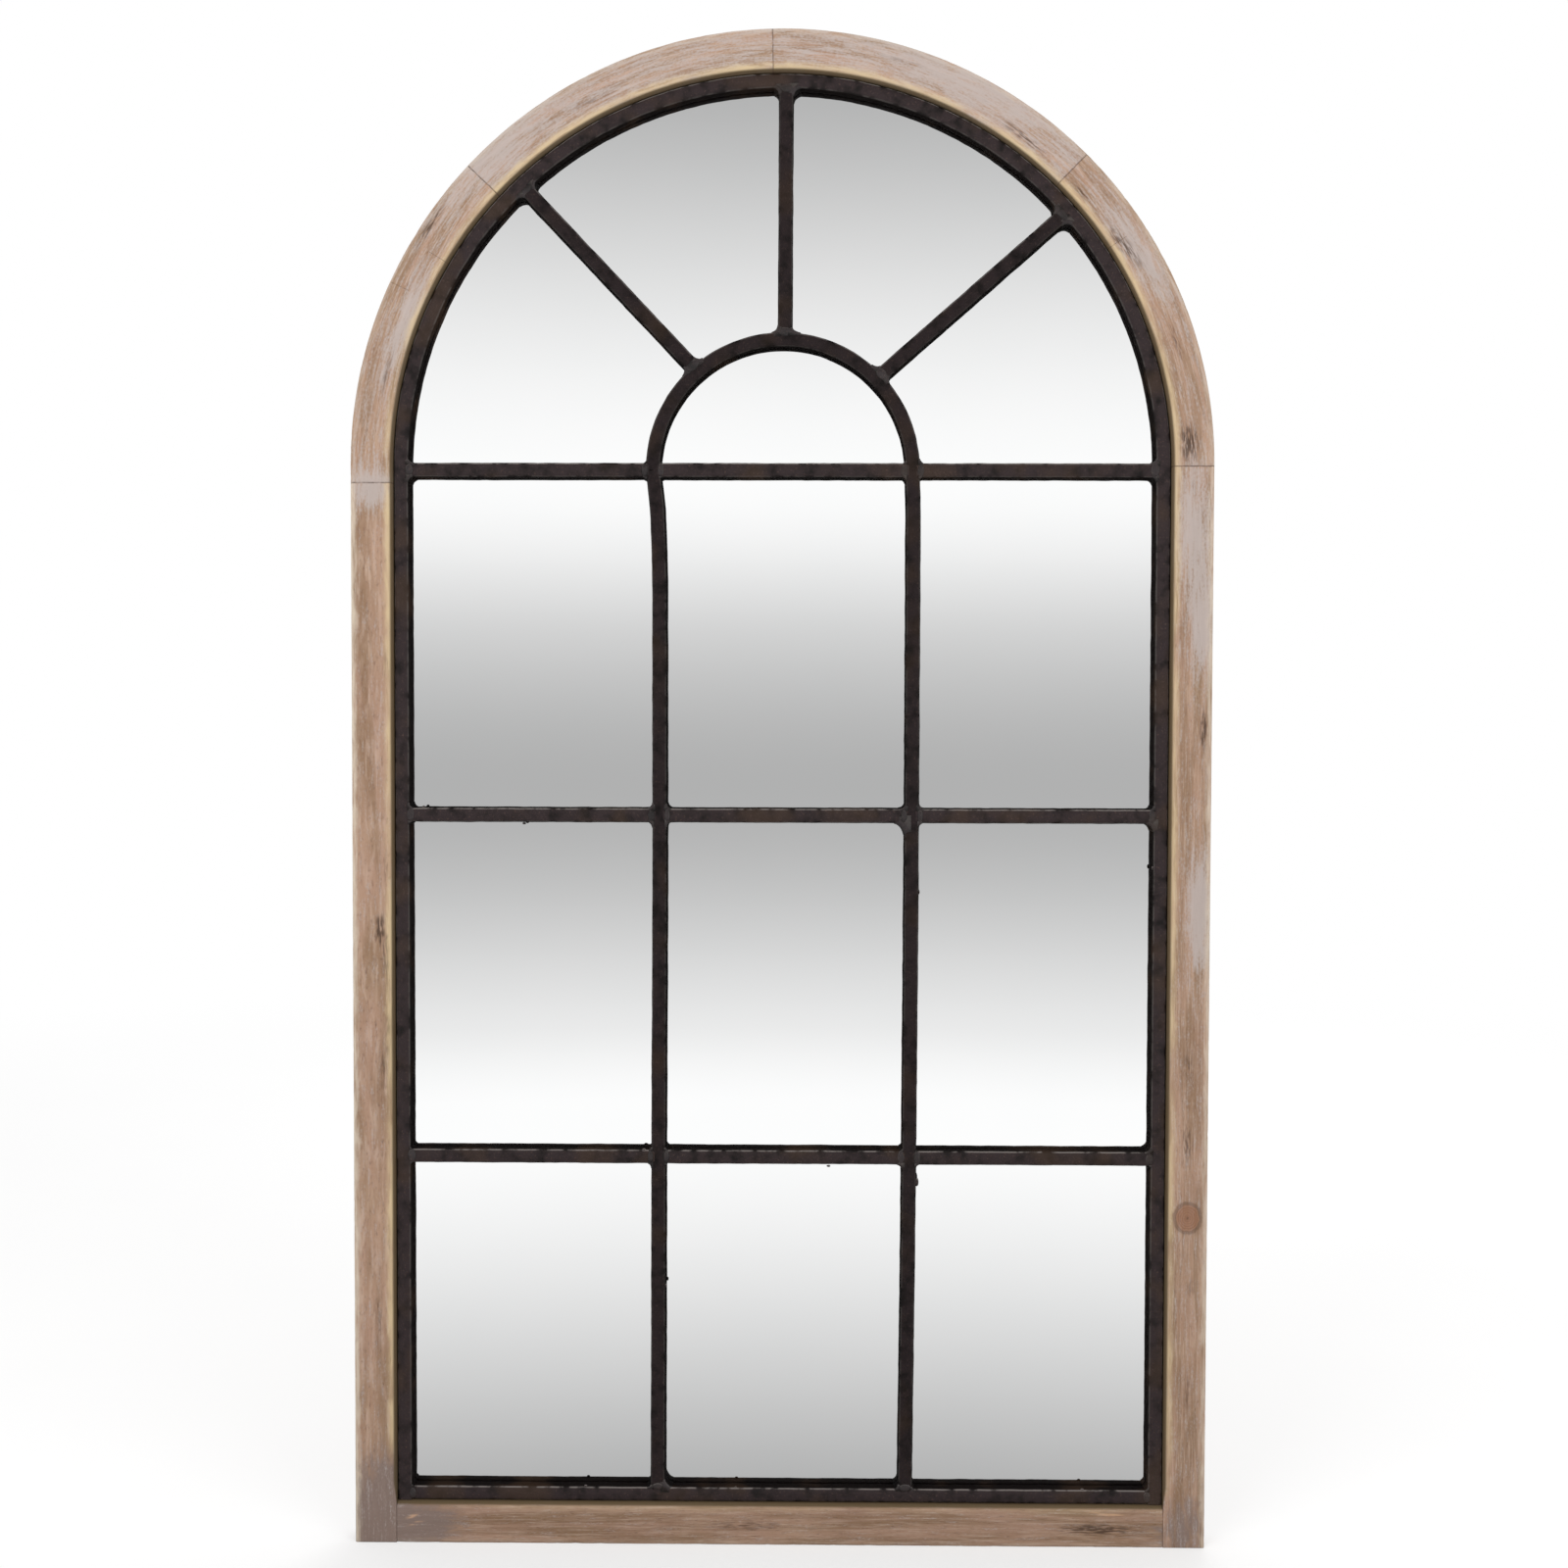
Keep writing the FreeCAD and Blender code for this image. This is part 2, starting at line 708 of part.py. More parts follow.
def export(nodes):
    """Write one STEP file for each node."""
    os.makedirs("parts", exist_ok=True)
    for name, piece in nodes.items():
        solids = piece if isinstance(piece, list) else piece.Solids
        shape = solids[0] if len(solids) == 1 else Part.makeCompound(solids)
        if not shape.isValid():
            raise ValueError("%s is not a valid solid" % name)
        shape.exportStep("parts/%s.step" % name)
        volume = sum(solid.Volume for solid in solids) / 1000
        print("%-26s %2d solid(s) %9.2f cm3" % (name, len(solids), volume))


export(build())
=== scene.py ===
# %% [markdown]
# # An arched window mirror
# The mirror is a wooden surround, joined from straight and curved lengths, round
# a welded grille of square iron bar, with one sheet of silvered glass behind.
# The rigid model comes in first. It fixes every size, so each piece made here
# takes its place from the boxes of the nodes that it covers.

# %% Load the frame
import bpy
import bmesh
import json
import math
import random
from mathutils import Matrix, Vector, noise


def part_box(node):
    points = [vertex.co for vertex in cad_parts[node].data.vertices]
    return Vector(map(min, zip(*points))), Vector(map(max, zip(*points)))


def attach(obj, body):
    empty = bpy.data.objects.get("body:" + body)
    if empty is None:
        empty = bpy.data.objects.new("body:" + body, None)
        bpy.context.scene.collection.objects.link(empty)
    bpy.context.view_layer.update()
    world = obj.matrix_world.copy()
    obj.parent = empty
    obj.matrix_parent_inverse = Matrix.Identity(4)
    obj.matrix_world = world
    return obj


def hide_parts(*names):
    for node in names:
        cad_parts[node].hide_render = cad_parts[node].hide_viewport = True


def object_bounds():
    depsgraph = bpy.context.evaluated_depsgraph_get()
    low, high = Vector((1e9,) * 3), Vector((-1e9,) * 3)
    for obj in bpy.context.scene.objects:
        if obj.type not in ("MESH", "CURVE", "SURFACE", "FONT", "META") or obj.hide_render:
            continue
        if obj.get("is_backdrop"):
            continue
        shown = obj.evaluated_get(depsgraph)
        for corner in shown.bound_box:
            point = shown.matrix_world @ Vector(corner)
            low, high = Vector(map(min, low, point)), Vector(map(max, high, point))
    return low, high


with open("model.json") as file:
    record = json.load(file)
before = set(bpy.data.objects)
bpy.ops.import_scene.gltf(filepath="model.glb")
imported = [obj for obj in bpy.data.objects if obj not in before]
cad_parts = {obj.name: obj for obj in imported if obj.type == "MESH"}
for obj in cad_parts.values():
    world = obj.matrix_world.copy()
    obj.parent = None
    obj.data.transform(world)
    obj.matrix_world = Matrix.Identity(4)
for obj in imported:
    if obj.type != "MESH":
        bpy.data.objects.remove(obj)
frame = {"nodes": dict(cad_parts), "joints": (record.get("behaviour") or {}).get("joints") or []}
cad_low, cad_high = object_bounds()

MM = 0.001
print("nodes in the frame:", len(frame["nodes"]))

# %% [markdown]
# ## Sizes
# Nothing is measured twice: the wood's width, the bar's size and the centre of
# the arch are read from boxes of the loaded nodes, in metres.

# %% Sizes read from the frame
stile_low, stile_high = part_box("left_stile")
glass_low, glass_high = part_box("mirror_glass")
hoop_low, hoop_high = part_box("grille_hoop")
foot_bar_low, foot_bar_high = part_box("grille_bottom_bar")
small_arch_low, small_arch_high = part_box("inner_arch")

front_y = stile_low.y
back_y = stile_high.y
half_width = -stile_low.x
wood_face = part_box("bottom_rail")[1].z
opening_half = half_width - wood_face
arch_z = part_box("right_stile")[1].z
left_stile_top = stile_high.z
bar = foot_bar_high.z - foot_bar_low.z
grille_y = (hoop_low.y + hoop_high.y) / 2
hoop_radius = hoop_high.x - bar / 2
fan_z = small_arch_low.z
upright_x = small_arch_high.x - bar / 2
print("opening %.0f mm wide, bar %.1f mm" % (2000 * opening_half, 1000 * bar))

# %% [markdown]
# ## Small helpers
# One function adds a node to any tree, with its settings and its links. A colour
# written for a screen is turned into the linear light that shaders work in, and
# patterns are given their real size in millimetres.

# %% Helpers for trees of nodes
def feed(tree, made, inputs):
    """Set or link the inputs of a node."""
    for key, value in inputs.items():
        socket = made.inputs[key]
        if isinstance(value, bpy.types.NodeSocket):
            tree.links.new(value, socket)
        else:
            socket.default_value = value


def node(tree, kind, inputs=None, **settings):
    """Add a node, set its properties, and set or link its inputs."""
    made = tree.nodes.new(kind)
    for key, value in settings.items():
        setattr(made, key, value)
    feed(tree, made, inputs or {})
    return made


def result(tree, kind, inputs=None, **settings):
    """Add a node and give its first output."""
    return node(tree, kind, inputs, **settings).outputs[0]


# %% Helpers for colours and patterns
def linear(code):
    """A colour from its six hex digits, in linear light."""
    parts = [int(code[i:i + 2], 16) / 255 for i in (0, 2, 4)]
    light = [c / 12.92 if c <= 0.04045 else ((c + 0.055) / 1.055) ** 2.4 for c in parts]
    return (*light, 1.0)


def per_size(size):
    """Texture scale on coordinates in metres for a feature of this size in mm."""
    return 1 / (size * MM)


def new_material(name):
    """A material with an empty tree, its surface shader and its output."""
    material = bpy.data.materials.new(name)
    material.use_nodes = True
    tree = material.node_tree
    tree.nodes.clear()
    shader = node(tree, "ShaderNodeBsdfPrincipled")
    node(tree, "ShaderNodeOutputMaterial", {"Surface": shader.outputs[0]})
    return material, tree, shader


# %% [markdown]
# A finish is built up in coats, as a painter would do it. Each coat has a colour
# and shows where a few values lie past their soft limits: how deep in the wood,
# how far across, how strong a pattern is. The values are multiplied together, so
# a coat shows only where all of its limits let it.

# %% Coats of a finish
def shown(tree, limits, share=1.0):
    """How much of a coat shows: a share of the product of all its limits.

    A limit is a value on its own, or a value with the places where a smooth rise
    starts and ends."""
    amount = share
    for limit in limits:
        value = limit
        if isinstance(limit, tuple):
            reach = dict(zip(("Value", "From Min", "From Max"), limit))
            value = result(tree, "ShaderNodeMapRange", reach, interpolation_type="SMOOTHSTEP")
        amount = result(tree, "ShaderNodeMath", {0: value, 1: amount}, operation="MULTIPLY")
    return amount


def coat(tree, under, colour, *limits, share=1.0, blend="MIX"):
    """A colour laid over what is there, as far as its limits let it show."""
    colours = {"Fac": shown(tree, limits, share), "Color1": under, "Color2": colour}
    return result(tree, "ShaderNodeMixRGB", colours, blend_type=blend)


def swung(tree, value, *swings):
    """A value pushed up and down by patterns, each given with its whole reach."""
    for pattern, reach in swings:
        push = {0: pattern, 1: reach, 2: -reach / 2}
        pushed = result(tree, "ShaderNodeMath", push, operation="MULTIPLY_ADD")
        value = result(tree, "ShaderNodeMath", {0: value, 1: pushed}, operation="ADD")
    return value


# %% [markdown]
# ## Weathered pine
# The surround is softwood, planed, brushed with a thin grey-white wash and
# rubbed back, so the grain shows through and the edges along the opening are
# bare and honey-coloured. Pine has an IOR of about 1.5 and a dull, open surface,
# so its roughness is high. The mesh carries five attributes for this material:
# `grain` is along, across and into the board in mm, `brush` follows the moulding
# as the brush did, `marks` holds the wash, the dark stains and the bare spots,
# `wear` how far the inner arris is rubbed, how grey the wood is and how far the
# outer arris is rubbed, and `end_gap` the distance to the nearer joint.

# %% Wood colours
PINE = {
    "dark": "A58970",
    "middle": "C4A590",
    "light": "DBC4B4",
    "fibre": "8A6C5A",
    "wash": "C9BDB8",
    "grey": "8B7A73",
    "stain": "4E3B30",
    "honey": "E2C9A0",
    "cream": "E2D2BE",
    "rubbed_and_highlight": "E3B592",
    # The next colour is painted shadow, for the steep inner side of the round-over.
    "round_over_shadow": "66563D",
    "joint": "4A3A30",
    "raw": "CBB08A",
    "knot": "A07257",
    "cool tint": "F0E4E2",
    "warm tint": "FFFAF0",
}


# %% Wood material
knot_squash = 0.88       # the height of a knot, as a share of its width
knot_wobble = 2.6        # how far noise moves its outline, in mm
knot_ring = 1.848        # from one of its rings to the next, in mm
back_depth = 26.4        # where the paint stops on the way to the back, in mm


def weathered_pine(name, seed, tone=1.0, knot=None, splits=()):
    """Washed and rubbed pine for one length of the surround."""
    material, tree, shader = new_material(name)
    grain, brush, marks, wear = (
        node(tree, "ShaderNodeAttribute", attribute_name=key).outputs["Vector"]
        for key in ("grain", "brush", "marks", "wear"))
    end_gap = node(tree, "ShaderNodeAttribute", attribute_name="end_gap").outputs["Fac"]
    run, across, deep = node(tree, "ShaderNodeSeparateXYZ", {0: brush}).outputs
    wash_mark, stain_mark, rubbed_mark = node(tree, "ShaderNodeSeparateXYZ", {0: marks}).outputs
    inner_wear, grey_mark, outer_wear = node(tree, "ShaderNodeSeparateXYZ", {0: wear}).outputs

    def noise_along(vector, sizes, detail, distortion=0.0):
        """Noise with features of these sizes in mm along, across and into the wood."""
        scale = [1 / size for size in sizes]
        placing = {"Vector": vector, "Scale": scale, "Location": (seed, 0, 0)}
        place = result(tree, "ShaderNodeMapping", placing)
        look = {"Vector": place, "Scale": 1.0, "Detail": detail, "Distortion": distortion}
        return result(tree, "ShaderNodeTexNoise", look)

    figure = noise_along(grain, (120, 8, 9), 2.0, 0.6)
    streak = noise_along(grain, (30, 1.7, 2.0), 4.0, 0.4)
    fibre = noise_along(grain, (9, 0.8, 0.9), 3.0)
    pores = noise_along(grain, (6.0, 1.0, 1.0), 2.0)
    cloud = noise_along(grain, (60, 22, 30), 2.0)
    mottle = noise_along(brush, (14, 4.5, 5), 3.0, 0.6)
    stroke = noise_along(brush, (24, 2.0, 2.0), 4.0, 0.3)
    smear = noise_along(brush, (10, 1.3, 1.3), 4.0)
    speck = noise_along(brush, (2.6, 1.2, 1.2), 2.0)

    pine = {key: linear(code) for key, code in PINE.items()}
    colour = coat(tree, pine["dark"], pine["middle"], (figure, 0.32, 0.68))
    colour = coat(tree, colour, pine["light"], (streak, 0.46, 0.74), share=0.65)
    colour = coat(tree, colour, pine["fibre"], (fibre, 0.54, 0.78), share=0.62)
    colour = coat(tree, colour, pine["fibre"], (mottle, 0.55, 0.80), share=0.28)
    colour = coat(tree, colour, pine["light"], (mottle, 0.45, 0.22), share=0.30)
    colour = coat(tree, colour, pine["stain"], (pores, 0.58, 0.78), share=0.42)
    tint = coat(tree, pine["cool tint"], pine["warm tint"], cloud)
    colour = coat(tree, colour, tint, blend="MULTIPLY")
    colour = coat(tree, colour, (tone, tone, tone, 1.0), blend="MULTIPLY")

    # Greyed wood: in patches near the bottom the wood is turned greyer and darker.
    greyed = swung(tree, grey_mark, (mottle, 0.9), (streak, 0.7))
    colour = coat(tree, colour, pine["grey"], (greyed, 0.25, 0.95), share=0.85)

    # The wash stays in the hollows of the brushed grain, and more of it in patches.
    half_wash = shown(tree, [wash_mark], share=0.5)
    cover = swung(tree, half_wash, (stroke, 0.75), (speck, 0.55), (mottle, 0.4))
    colour = coat(tree, colour, pine["wash"], (cover, 0.03, 0.47), share=0.80)

    # Stains are dark strokes along the grain, and the bare spots are rubbed to the wood.
    smeared = shown(tree, [stain_mark, (smear, 0.28, 0.62)])
    colour = coat(tree, colour, pine["stain"], (smeared, 0.10, 1.0), share=0.85)
    colour = coat(tree, colour, pine["rubbed_and_highlight"], rubbed_mark, (stroke, 0.40, 0.60))

    # The rub-through runs along both arrises of the front, with soft wandering edges.
    edge = swung(tree, across, (mottle, 6.0))
    colour = coat(
        tree, colour, pine["honey"], (edge, 25.0, 31.0), (deep, 2.2, 0.7), (stroke, 0.05, 0.55),
        (cloud, 0.20, 0.60), (grey_mark, 0.75, 0.20), inner_wear, share=0.95)
    colour = coat(
        tree, colour, pine["cream"], (edge, 6.5, 0.6), (deep, 6.0, 1.0), (stroke, 0.20, 0.60), outer_wear)
    # Painted shadow: the steep inner side of the round-over, turning down towards the grille, is painted a
    # dark olive shade.
    colour = coat(tree, colour, pine["round_over_shadow"], (deep, 0.2, 1.5), (across, 29.5, 31.5), share=0.92)

    # The back is bare wood, and each end is a thin dark joint line.
    raw = coat(tree, pine["raw"], pine["middle"], (figure, 0.40, 0.60), share=0.6)
    raw = coat(tree, raw, pine["fibre"], (fibre, 0.58, 0.82), share=0.35)
    colour = coat(tree, colour, raw, (deep, back_depth, back_depth + 0.8))
    colour = coat(tree, colour, pine["joint"], (end_gap, 0.9, 0.2), (mottle, 0.25, 0.60), share=0.65)
    for place, low, high in splits:
        off = result(tree, "ShaderNodeMath", {0: run, 1: place}, operation="SUBTRACT")
        gap = result(tree, "ShaderNodeMath", {0: off}, operation="ABSOLUTE")
        colour = coat(
            tree, colour, pine["joint"], (gap, 0.45, 0.10), (speck, 0.35, 0.60),
            (across, low - 0.5, low + 0.5), (across, high + 0.5, high - 0.5), share=0.7)

    # A knot has a warm body with rings, a dark heart and a dark rim, on the front alone.
    if knot:
        x, z, radius = knot
        flat = node(tree, "ShaderNodeTexCoord").outputs["Object"]
        for operation, amount in (
                ("SUBTRACT", (x * MM, 0, z * MM)), ("MULTIPLY", (1 / MM, 0, knot_squash / MM))):
            flat = result(tree, "ShaderNodeVectorMath", {0: flat, 1: amount}, operation=operation)
        wobble = node(tree, "ShaderNodeTexNoise", {"Vector": flat, "Scale": 0.22, "Detail": 3.0})
        push = {0: wobble.outputs["Color"], 1: (knot_wobble,) * 3, 2: flat}
        moved = result(tree, "ShaderNodeVectorMath", push, operation="MULTIPLY_ADD")
        pull = {0: moved, 1: (knot_wobble / 2,) * 3}
        centred = result(tree, "ShaderNodeVectorMath", pull, operation="SUBTRACT")
        reach = node(tree, "ShaderNodeVectorMath", {0: centred}, operation="LENGTH").outputs["Value"]
        phase = result(tree, "ShaderNodeMath", {0: reach, 1: 2 * math.pi / knot_ring}, operation="MULTIPLY")
        rings = result(tree, "ShaderNodeMath", {0: phase}, operation="SINE")
        front = (deep, 9.0, 7.0)
        colour = coat(tree, colour, pine["knot"], (reach, radius, radius * 0.72), front, share=0.72)
        within = (reach, radius * 1.15, radius * 0.85)
        colour = coat(tree, colour, pine["stain"], (rings, 0.2, 1.0), within, front, share=0.22)
        colour = coat(tree, colour, pine["stain"], (reach, radius * 0.22, 0.0), front, share=0.40)
        rim = (reach, radius * 0.78, radius * 0.95), (reach, radius * 1.18, radius)
        colour = coat(tree, colour, pine["stain"], *rim, front, share=0.40)

    heights = [shown(tree, [pattern], share=0.5) for pattern in (fibre, stroke)]
    relief = result(tree, "ShaderNodeMath", dict(enumerate(heights)), operation="ADD")
    bump = {"Height": relief, "Distance": 0.35 * MM, "Strength": 0.55}
    feed(tree, shader, {
        "Base Color": colour, "IOR": 1.5, "Specular IOR Level": 0.25,
        "Normal": result(tree, "ShaderNodeBump", bump),
        "Roughness": result(tree, "ShaderNodeMapRange", {
            "Value": cover, "From Min": -0.1, "From Max": 0.5, "To Min": 0.62, "To Max": 0.82})})
    return material


# %% [markdown]
# ## Blackened iron
# The bars are hot-rolled mild steel, blackened with a brown-black lacquer. The
# lacquer is what the light meets, so the shader is a dielectric and not a metal:
# a dark coat with a soft gloss, mottled brown and plum, with a finely lumpy skin.

# %% Iron material
# The first colour, for the sides of each bar, is painted shade; the last, for its rolled corners, is a
# painted highlight.
IRON = {"hollow": "1A1514", "skin": "34292A", "brown": "453428", "fleck": "5C4840", "rubbed_and_highlight": "8C8480"}


def blackened_iron(name, seed, tone=1.0, gloss=0.25, rub_and_highlight=0.55):
    """Lacquered hot-rolled bar, browner on its front face, with painted shade on its sides and a painted
    highlight on its rolled corners.
    """
    material, tree, shader = new_material(name)
    tones = {key: [part * tone for part in linear(code)[:3]] + [1.0] for key, code in IRON.items()}
    place = node(tree, "ShaderNodeTexCoord").outputs
    placing = {"Vector": place["Object"], "Location": (seed * MM, 0, seed * MM)}
    shifted = result(tree, "ShaderNodeMapping", placing)
    mottle, patch, grit = (
        result(tree, "ShaderNodeTexNoise", {"Vector": shifted, "Scale": per_size(size), "Detail": detail})
        for size, detail in ((9, 4.0), (38, 2.0), (1.8, 2.0)))
    _, facing, upward = node(tree, "ShaderNodeSeparateXYZ", {0: place["Normal"]}).outputs

    # Painted shade: the sides of each bar are painted darker than its mottled, browner front face.
    painted_front_light = shown(tree, [(facing, -0.70, -0.98), (mottle, 0.20, 0.60)])
    colour = coat(tree, tones["hollow"], tones["skin"], painted_front_light)
    colour = coat(tree, colour, tones["brown"], (patch, 0.50, 0.72), share=0.6)
    colour = coat(tree, colour, tones["fleck"], painted_front_light, (grit, 0.56, 0.76), share=0.6)

    # Painted highlight: the rolled corners are painted brighter, most of all those that face up towards the
    # light.
    climb = {0: shown(tree, [(upward, -0.10, 0.60)]), 1: rub_and_highlight, 2: rub_and_highlight * 0.36}
    rubbed_and_highlight = result(tree, "ShaderNodeMath", climb, operation="MULTIPLY_ADD")
    rolled = (facing, -0.96, -0.82), (facing, -0.40, -0.60)
    colour = coat(tree, colour, tones["rubbed_and_highlight"], rubbed_and_highlight, *rolled, (mottle, 0.35, 0.55))

    # The sides of a bar are duller than its front.
    front = shown(tree, [(facing, -0.20, -0.65)])
    sheen = result(tree, "ShaderNodeMapRange", {
        "Value": mottle, "From Min": 0.3, "From Max": 0.7, "To Min": 0.56, "To Max": 0.36})
    relief = result(tree, "ShaderNodeMath", {0: mottle, 1: grit}, operation="ADD")
    bump = {"Height": relief, "Distance": 0.5 * MM, "Strength": 0.5}
    feed(tree, shader, {
        "Base Color": colour,
        "Roughness": result(tree, "ShaderNodeMapRange", {"Value": front, "To Min": 0.85, "To Max": sheen}),
        "Specular IOR Level": result(tree, "ShaderNodeMapRange", {
            "Value": front, "To Min": 0.2 * gloss, "To Max": gloss}),
        "Normal": result(tree, "ShaderNodeBump", bump)})
    return material


iron = blackened_iron("blackened_iron", 0)
dark_iron = blackened_iron("blackened_iron_dark", 5, tone=0.62, gloss=0.16)
weld_iron = blackened_iron("blackened_weld", 9, tone=0.8, gloss=0.6, rub_and_highlight=0.25)

# %% [markdown]
# ## Glass, board and small fittings
# The mirror is float glass with silver on its back. What one sees is the silver,
# so its shader is a smooth metal, a shade below white. The board behind is
# hardboard: pressed wood fibre, brown and flecked. The hangers and screws are
# zinc-plated steel, the bumpers are moulded rubber and the dowels are beech.

# %% Mirror, board and fitting materials
def silvered_glass(name):
    """Silver seen through clear float glass, with the faintest unevenness."""
    material, tree, shader = new_material(name)
    place = node(tree, "ShaderNodeTexCoord").outputs["Object"]
    haze = result(tree, "ShaderNodeTexNoise", {"Vector": place, "Scale": per_size(120), "Detail": 2.0})
    colour = coat(tree, linear("FBFCFC"), linear("FEFEFE"), haze)
    feed(tree, shader, {"Base Color": colour, "Metallic": 1.0, "Roughness": 0.0})
    return material


def flecked(name, dark, light, size, roughness, metallic=0.0, height=0.05, stretch=(1, 1, 1)):
    """A surface of one substance whose colour and relief vary at one real size."""
    material, tree, shader = new_material(name)
    place = node(tree, "ShaderNodeTexCoord").outputs["Object"]
    drawn = result(tree, "ShaderNodeMapping", {"Vector": place, "Scale": stretch})
    fleck = result(tree, "ShaderNodeTexNoise", {"Vector": drawn, "Scale": per_size(size), "Detail": 4.0})
    even = result(tree, "ShaderNodeMapRange", {"Value": fleck, "From Min": 0.32, "From Max": 0.68})
    feed(tree, shader, {
        "Base Color": coat(tree, linear(dark), linear(light), even),
        "Roughness": result(tree, "ShaderNodeMapRange", {
            "Value": fleck, "To Min": roughness - 0.06, "To Max": roughness + 0.06}),
        "Normal": result(tree, "ShaderNodeBump", {
            "Height": fleck, "Distance": height * MM, "Strength": 0.6}),
        "Metallic": metallic})
    return material


mirror = silvered_glass("silvered_float_glass")
hardboard = flecked("pressed_hardboard", "5E4430", "7C5C40", 1.8, 0.72, height=0.12)
zinc = flecked("zinc_plated_steel", "8F9296", "B4B7BA", 3.0, 0.34, metallic=1.0, height=0.03)
rubber = flecked("moulded_rubber", "1B1B1C", "272728", 1.2, 0.68)
beech = flecked("beech_dowel", "B98F66", "D0A980", 2.5, 0.6, stretch=(1, 3, 1))
print("materials ready")

# %% [markdown]
# ## The wooden surround
# Each length of the surround is one moulding: a flat face with a small outer
# arris, a 5 mm round-over along the opening, and two rebates behind for the
# glass and the board. Sweeping that section along a line or an arc gives a fine,
# even mesh that knows where each point lies along, across and into the wood.
# The arrises wander a little, as rubbed-down edges do, and always inwards.

# %% Helpers for meshes
def link_object(name, data):
    """An object for finished data, at the origin."""
    made = bpy.data.objects.new(name, data)
    bpy.context.scene.collection.objects.link(made)
    return made


def new_mesh(name, points, edges=(), faces=()):
    """A mesh from lists of points, edges and faces."""
    mesh = bpy.data.meshes.new(name)
    mesh.from_pydata(points, edges, faces)
    return mesh


def look_outwards(mesh, merge=0.0):
    """Merge points closer than a distance and turn all the faces outwards."""
    work = bmesh.new()
    work.from_mesh(mesh)
    if merge:
        bmesh.ops.remove_doubles(work, verts=work.verts, dist=merge)
    bmesh.ops.recalc_face_normals(work, faces=work.faces)
    work.to_mesh(mesh)
    work.free()
    return mesh


def soften(mesh, angle):
    """Smooth shading, apart from edges sharper than an angle in degrees."""
    mesh.shade_smooth()
    mesh.set_sharp_from_angle(angle=math.radians(angle))


def sweep_faces(rows, ring):
    """Faces between rows of points, each a closed ring, and a cap at either end."""
    faces = []
    for row in range(rows - 1):
        low, high = row * ring, (row + 1) * ring
        for column in range(ring):
            after = (column + 1) % ring
            faces.append((low + column, low + after, high + after, high + column))
    faces.append(tuple(range(ring)))
    faces.append(tuple(range((rows - 1) * ring, rows * ring)))
    return faces


def quarter_turns(count):
    """Angles of a quarter turn in equal steps, both ends included."""
    return [math.pi / 2 * index / count for index in range(count + 1)]


# %% The section of the moulding, in mm: across from the outer edge, and deep
round_over = 5.0
outer_arris = 1.2
glass_lap = 8.0
board_lap = 8.0          # beyond the glass rebate
face = wood_face / MM
depth = (back_y - front_y) / MM
glass_front = (glass_low.y - front_y) / MM
glass_back = (glass_high.y - front_y) / MM


def section(inner, outer, glass_cut, board_cut):
    """Closed outline for a round-over, an outer arris and how far out each rebate reaches."""
    outline = [(0, depth * part) for part in (1.0, 0.7, 0.4, 0.2)]
    for turn in quarter_turns(4):
        outline.append((outer - outer * math.cos(turn), outer - outer * math.sin(turn)))
    flat = face - inner - outer
    outline += [(outer + flat * step / 18, 0) for step in range(1, 18)]
    for turn in quarter_turns(10):
        outline.append((face - inner + inner * math.sin(turn), inner - inner * math.cos(turn)))
    outline += [(face, inner + (glass_front - inner) * part) for part in (0.35, 0.7, 1.0)]
    glass_edge = face - glass_cut
    board_edge = face - board_cut
    outline += [(glass_edge, glass_front), (glass_edge, glass_back)]
    outline += [(board_edge, glass_back), (board_edge, depth), (board_edge / 2, depth)]
    return outline


# %% Marks on the wood, as x, z, half length, half width, lean in degrees and strength
dark_stains = [
    (-328, 508, 11, 3.2, 90, 1.6), (-322, 489, 34, 4.0, 91, 0.9), (-320, 727, 16, 3.5, 90, 0.7),
    (-319, 428, 22, 3.2, 91, 1.1), (-325, 395, 26, 5.0, 90, 0.7), (-330, 188, 30, 4.5, 90, 0.6),
    (-322, 560, 20, 2.5, 90, 0.6), (343, 673, 17, 3.0, 90, 1.3), (333, 399, 14, 5.0, 92, 0.7),
    (333, 335, 20, 5.5, 90, 0.8), (337, 217, 10, 4.0, 90, 0.6), (335, 130, 24, 5.0, 88, 0.6),
    (329, 905, 16, 8.0, 92, 1.25), (333, 868, 8, 3.0, 90, 0.5), (-27, 16, 42, 5.0, 1, 0.7),
    (262, 15, 34, 5.0, -1, 1.2),
    (-284, 1079, 26, 4.0, 55, 0.9), (194, 1149, 26, 4.0, -38, 0.9), (240, 1105, 10, 2.5, -45, 0.9),
    (276, 1062, 26, 6.0, -50, 0.9), (-276, 1030, 5, 2.5, 60, 1.3), (-150, 1180, 30, 3.0, 25, 0.6),
    (318, 985, 22, 3.0, -72, 0.7), (-320, 960, 24, 3.0, 76, 0.7), (95, 1210, 26, 2.5, -16, 0.5),
]
washed_patches = [
    (-333, 866, 14, 20, 90, 1.0), (341, 757, 36, 9, 90, 1.0), (341, 525, 44, 9, 90, 1.1),
    (333, 835, 50, 16, 90, 0.8), (-240, 1130, 70, 14, 45, 0.4), (-305, 1000, 40, 8, 68, 0.7),
    (150, 1190, 80, 12, -25, 0.4), (285, 1060, 50, 10, -55, 0.7), (-328, 660, 60, 5, 90, 0.15),
]
bare_spots = [(-303, 22, 4, 1.0, 25, 1.2), (-299, 17, 5, 0.9, 20, 1.0), (272, 28, 14, 1.8, -4, 0.9)]
greyed_patches = [
    (-336, 22, 46, 26, 90, 1.25), (-292, 14, 34, 22, 12, 1.1), (336, 18, 34, 22, 90, 0.75),
    (-328, 130, 60, 10, 90, 0.35), (300, 10, 30, 14, 0, 0.4), (-318, 44, 36, 12, 90, 0.6),
]


